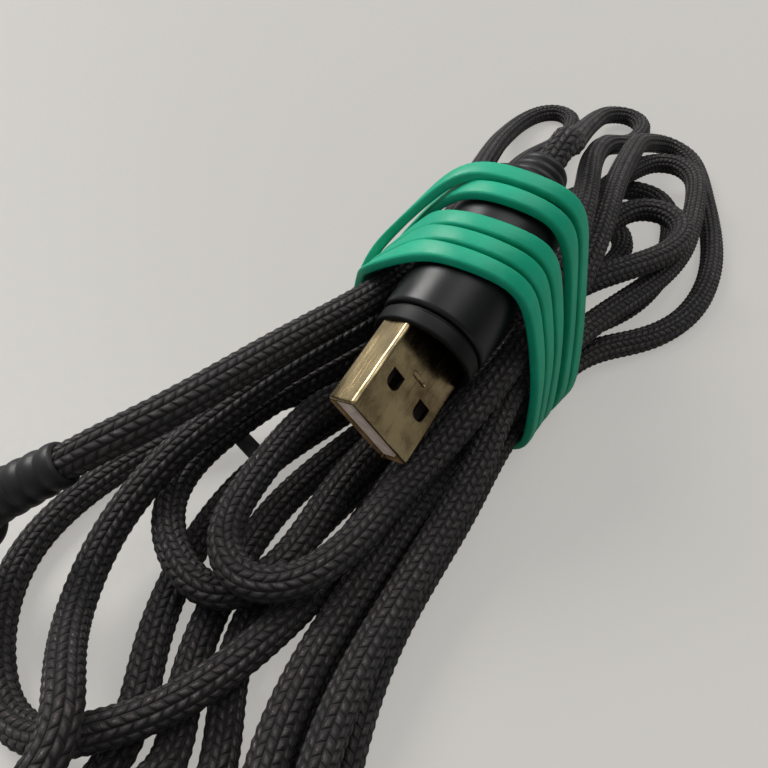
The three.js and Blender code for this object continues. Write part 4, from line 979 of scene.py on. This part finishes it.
def table_finish():
    """A table top that the camera sees paler than it is. Every other ray, mirrored ones among them,
    meets a darker top with a faint glow."""
    f = Finish("table top")
    cloud = f.noise(5.0, 4.0)
    grain = f.noise(700.0, 3.0)
    marks = f.clamp(f.noise(60.0, 2.0, f.stretched((0, 0, 0.9), (9.0, 1.0, 1.0))) * 8.0 - 5.9)
    tone = f.clamp(cloud * 0.7 + grain * 0.25 + marks * 0.2 - 0.05)
    ray = f.node("ShaderNodeLightPath", {}, {})
    seen = Value(f, ray.outputs["Is Camera Ray"])
    pale = f.mix(tone, paint(106, 105, 102), paint(116, 114, 111))
    return f.surface({
        "Base Color": f.mix(seen, paint(130, 129, 126), pale),
        "Roughness": f.clamp(0.42 + grain * 0.2),
        "Specular IOR Level": 0.35,
        "Emission Color": f.mix(seen, paint(70, 69, 67), paint(165, 163, 159)),
        "Emission Strength": 1.0,
        "Normal": f.bump(grain + cloud * 2.0, 0.00003),
    })


bpy.ops.object.select_all(action="DESELECT")
bpy.ops.mesh.primitive_plane_add(size=12.0, location=(0, 0, -0.0001))
table = bpy.context.object
table.name = "table"
table.data.materials.append(table_finish())


def soft_light(name, place, size, power, colour):
    """A square lamp facing the middle of the hank."""
    lamp = bpy.data.lights.new(name, "AREA")
    lamp.size = size
    lamp.energy = power
    lamp.color = colour
    holder = bpy.data.objects.new(name, lamp)
    holder.location = place
    holder.rotation_euler = (Vector((0, 0, 0.01)) - Vector(place)).to_track_quat("-Z", "Y").to_euler()
    bpy.context.scene.collection.objects.link(holder)


# placed by the camera's own right and forward directions over the table
AHEAD = Vector((0.857, 0.515, 0))
soft_light("window", tuple(AHEAD * 1.3 - RIGHT * 1.4 + Vector((0, 0, 2.1))), 1.3, 56.0,
           (1.0, 0.985, 0.96))
soft_light("ceiling", tuple(AHEAD * 0.3 + RIGHT * 1.0 + Vector((0, 0, 2.2))), 1.8, 18.0,
           (1.0, 0.99, 0.97))


def room_light():
    """The room: bright above and beyond the hank, darker on the near side. The camera itself sees
    one even grey."""
    world = bpy.data.worlds.new("room")
    bpy.context.scene.world = world
    world.use_nodes = True
    nodes, links = world.node_tree.nodes, world.node_tree.links
    way = nodes.new("ShaderNodeTexCoord")
    toward = nodes.new("ShaderNodeVectorMath")
    toward.operation = "DOT_PRODUCT"
    toward.inputs[1].default_value = (AHEAD * 0.35 - RIGHT * 0.45 + Vector((0, 0, 0.82))).normalized()
    level = nodes.new("ShaderNodeMapRange")
    level.inputs["From Min"].default_value = -0.5
    level.inputs["From Max"].default_value = 0.9
    level.inputs["To Min"].default_value = 0.08
    level.inputs["To Max"].default_value = 0.52
    links.new(way.outputs["Generated"], toward.inputs[0])
    links.new(toward.outputs["Value"], level.inputs["Value"])
    ray = nodes.new("ShaderNodeLightPath")
    seen = nodes.new("ShaderNodeMix")
    seen.inputs[3].default_value = 0.56
    links.new(ray.outputs["Is Camera Ray"], seen.inputs[0])
    links.new(level.outputs[0], seen.inputs[2])
    links.new(seen.outputs[0], nodes["Background"].inputs["Strength"])
    nodes["Background"].inputs["Color"].default_value = (0.97, 0.98, 1.0, 1.0)


room_light()

bpy.context.scene.view_settings.view_transform = "Standard"
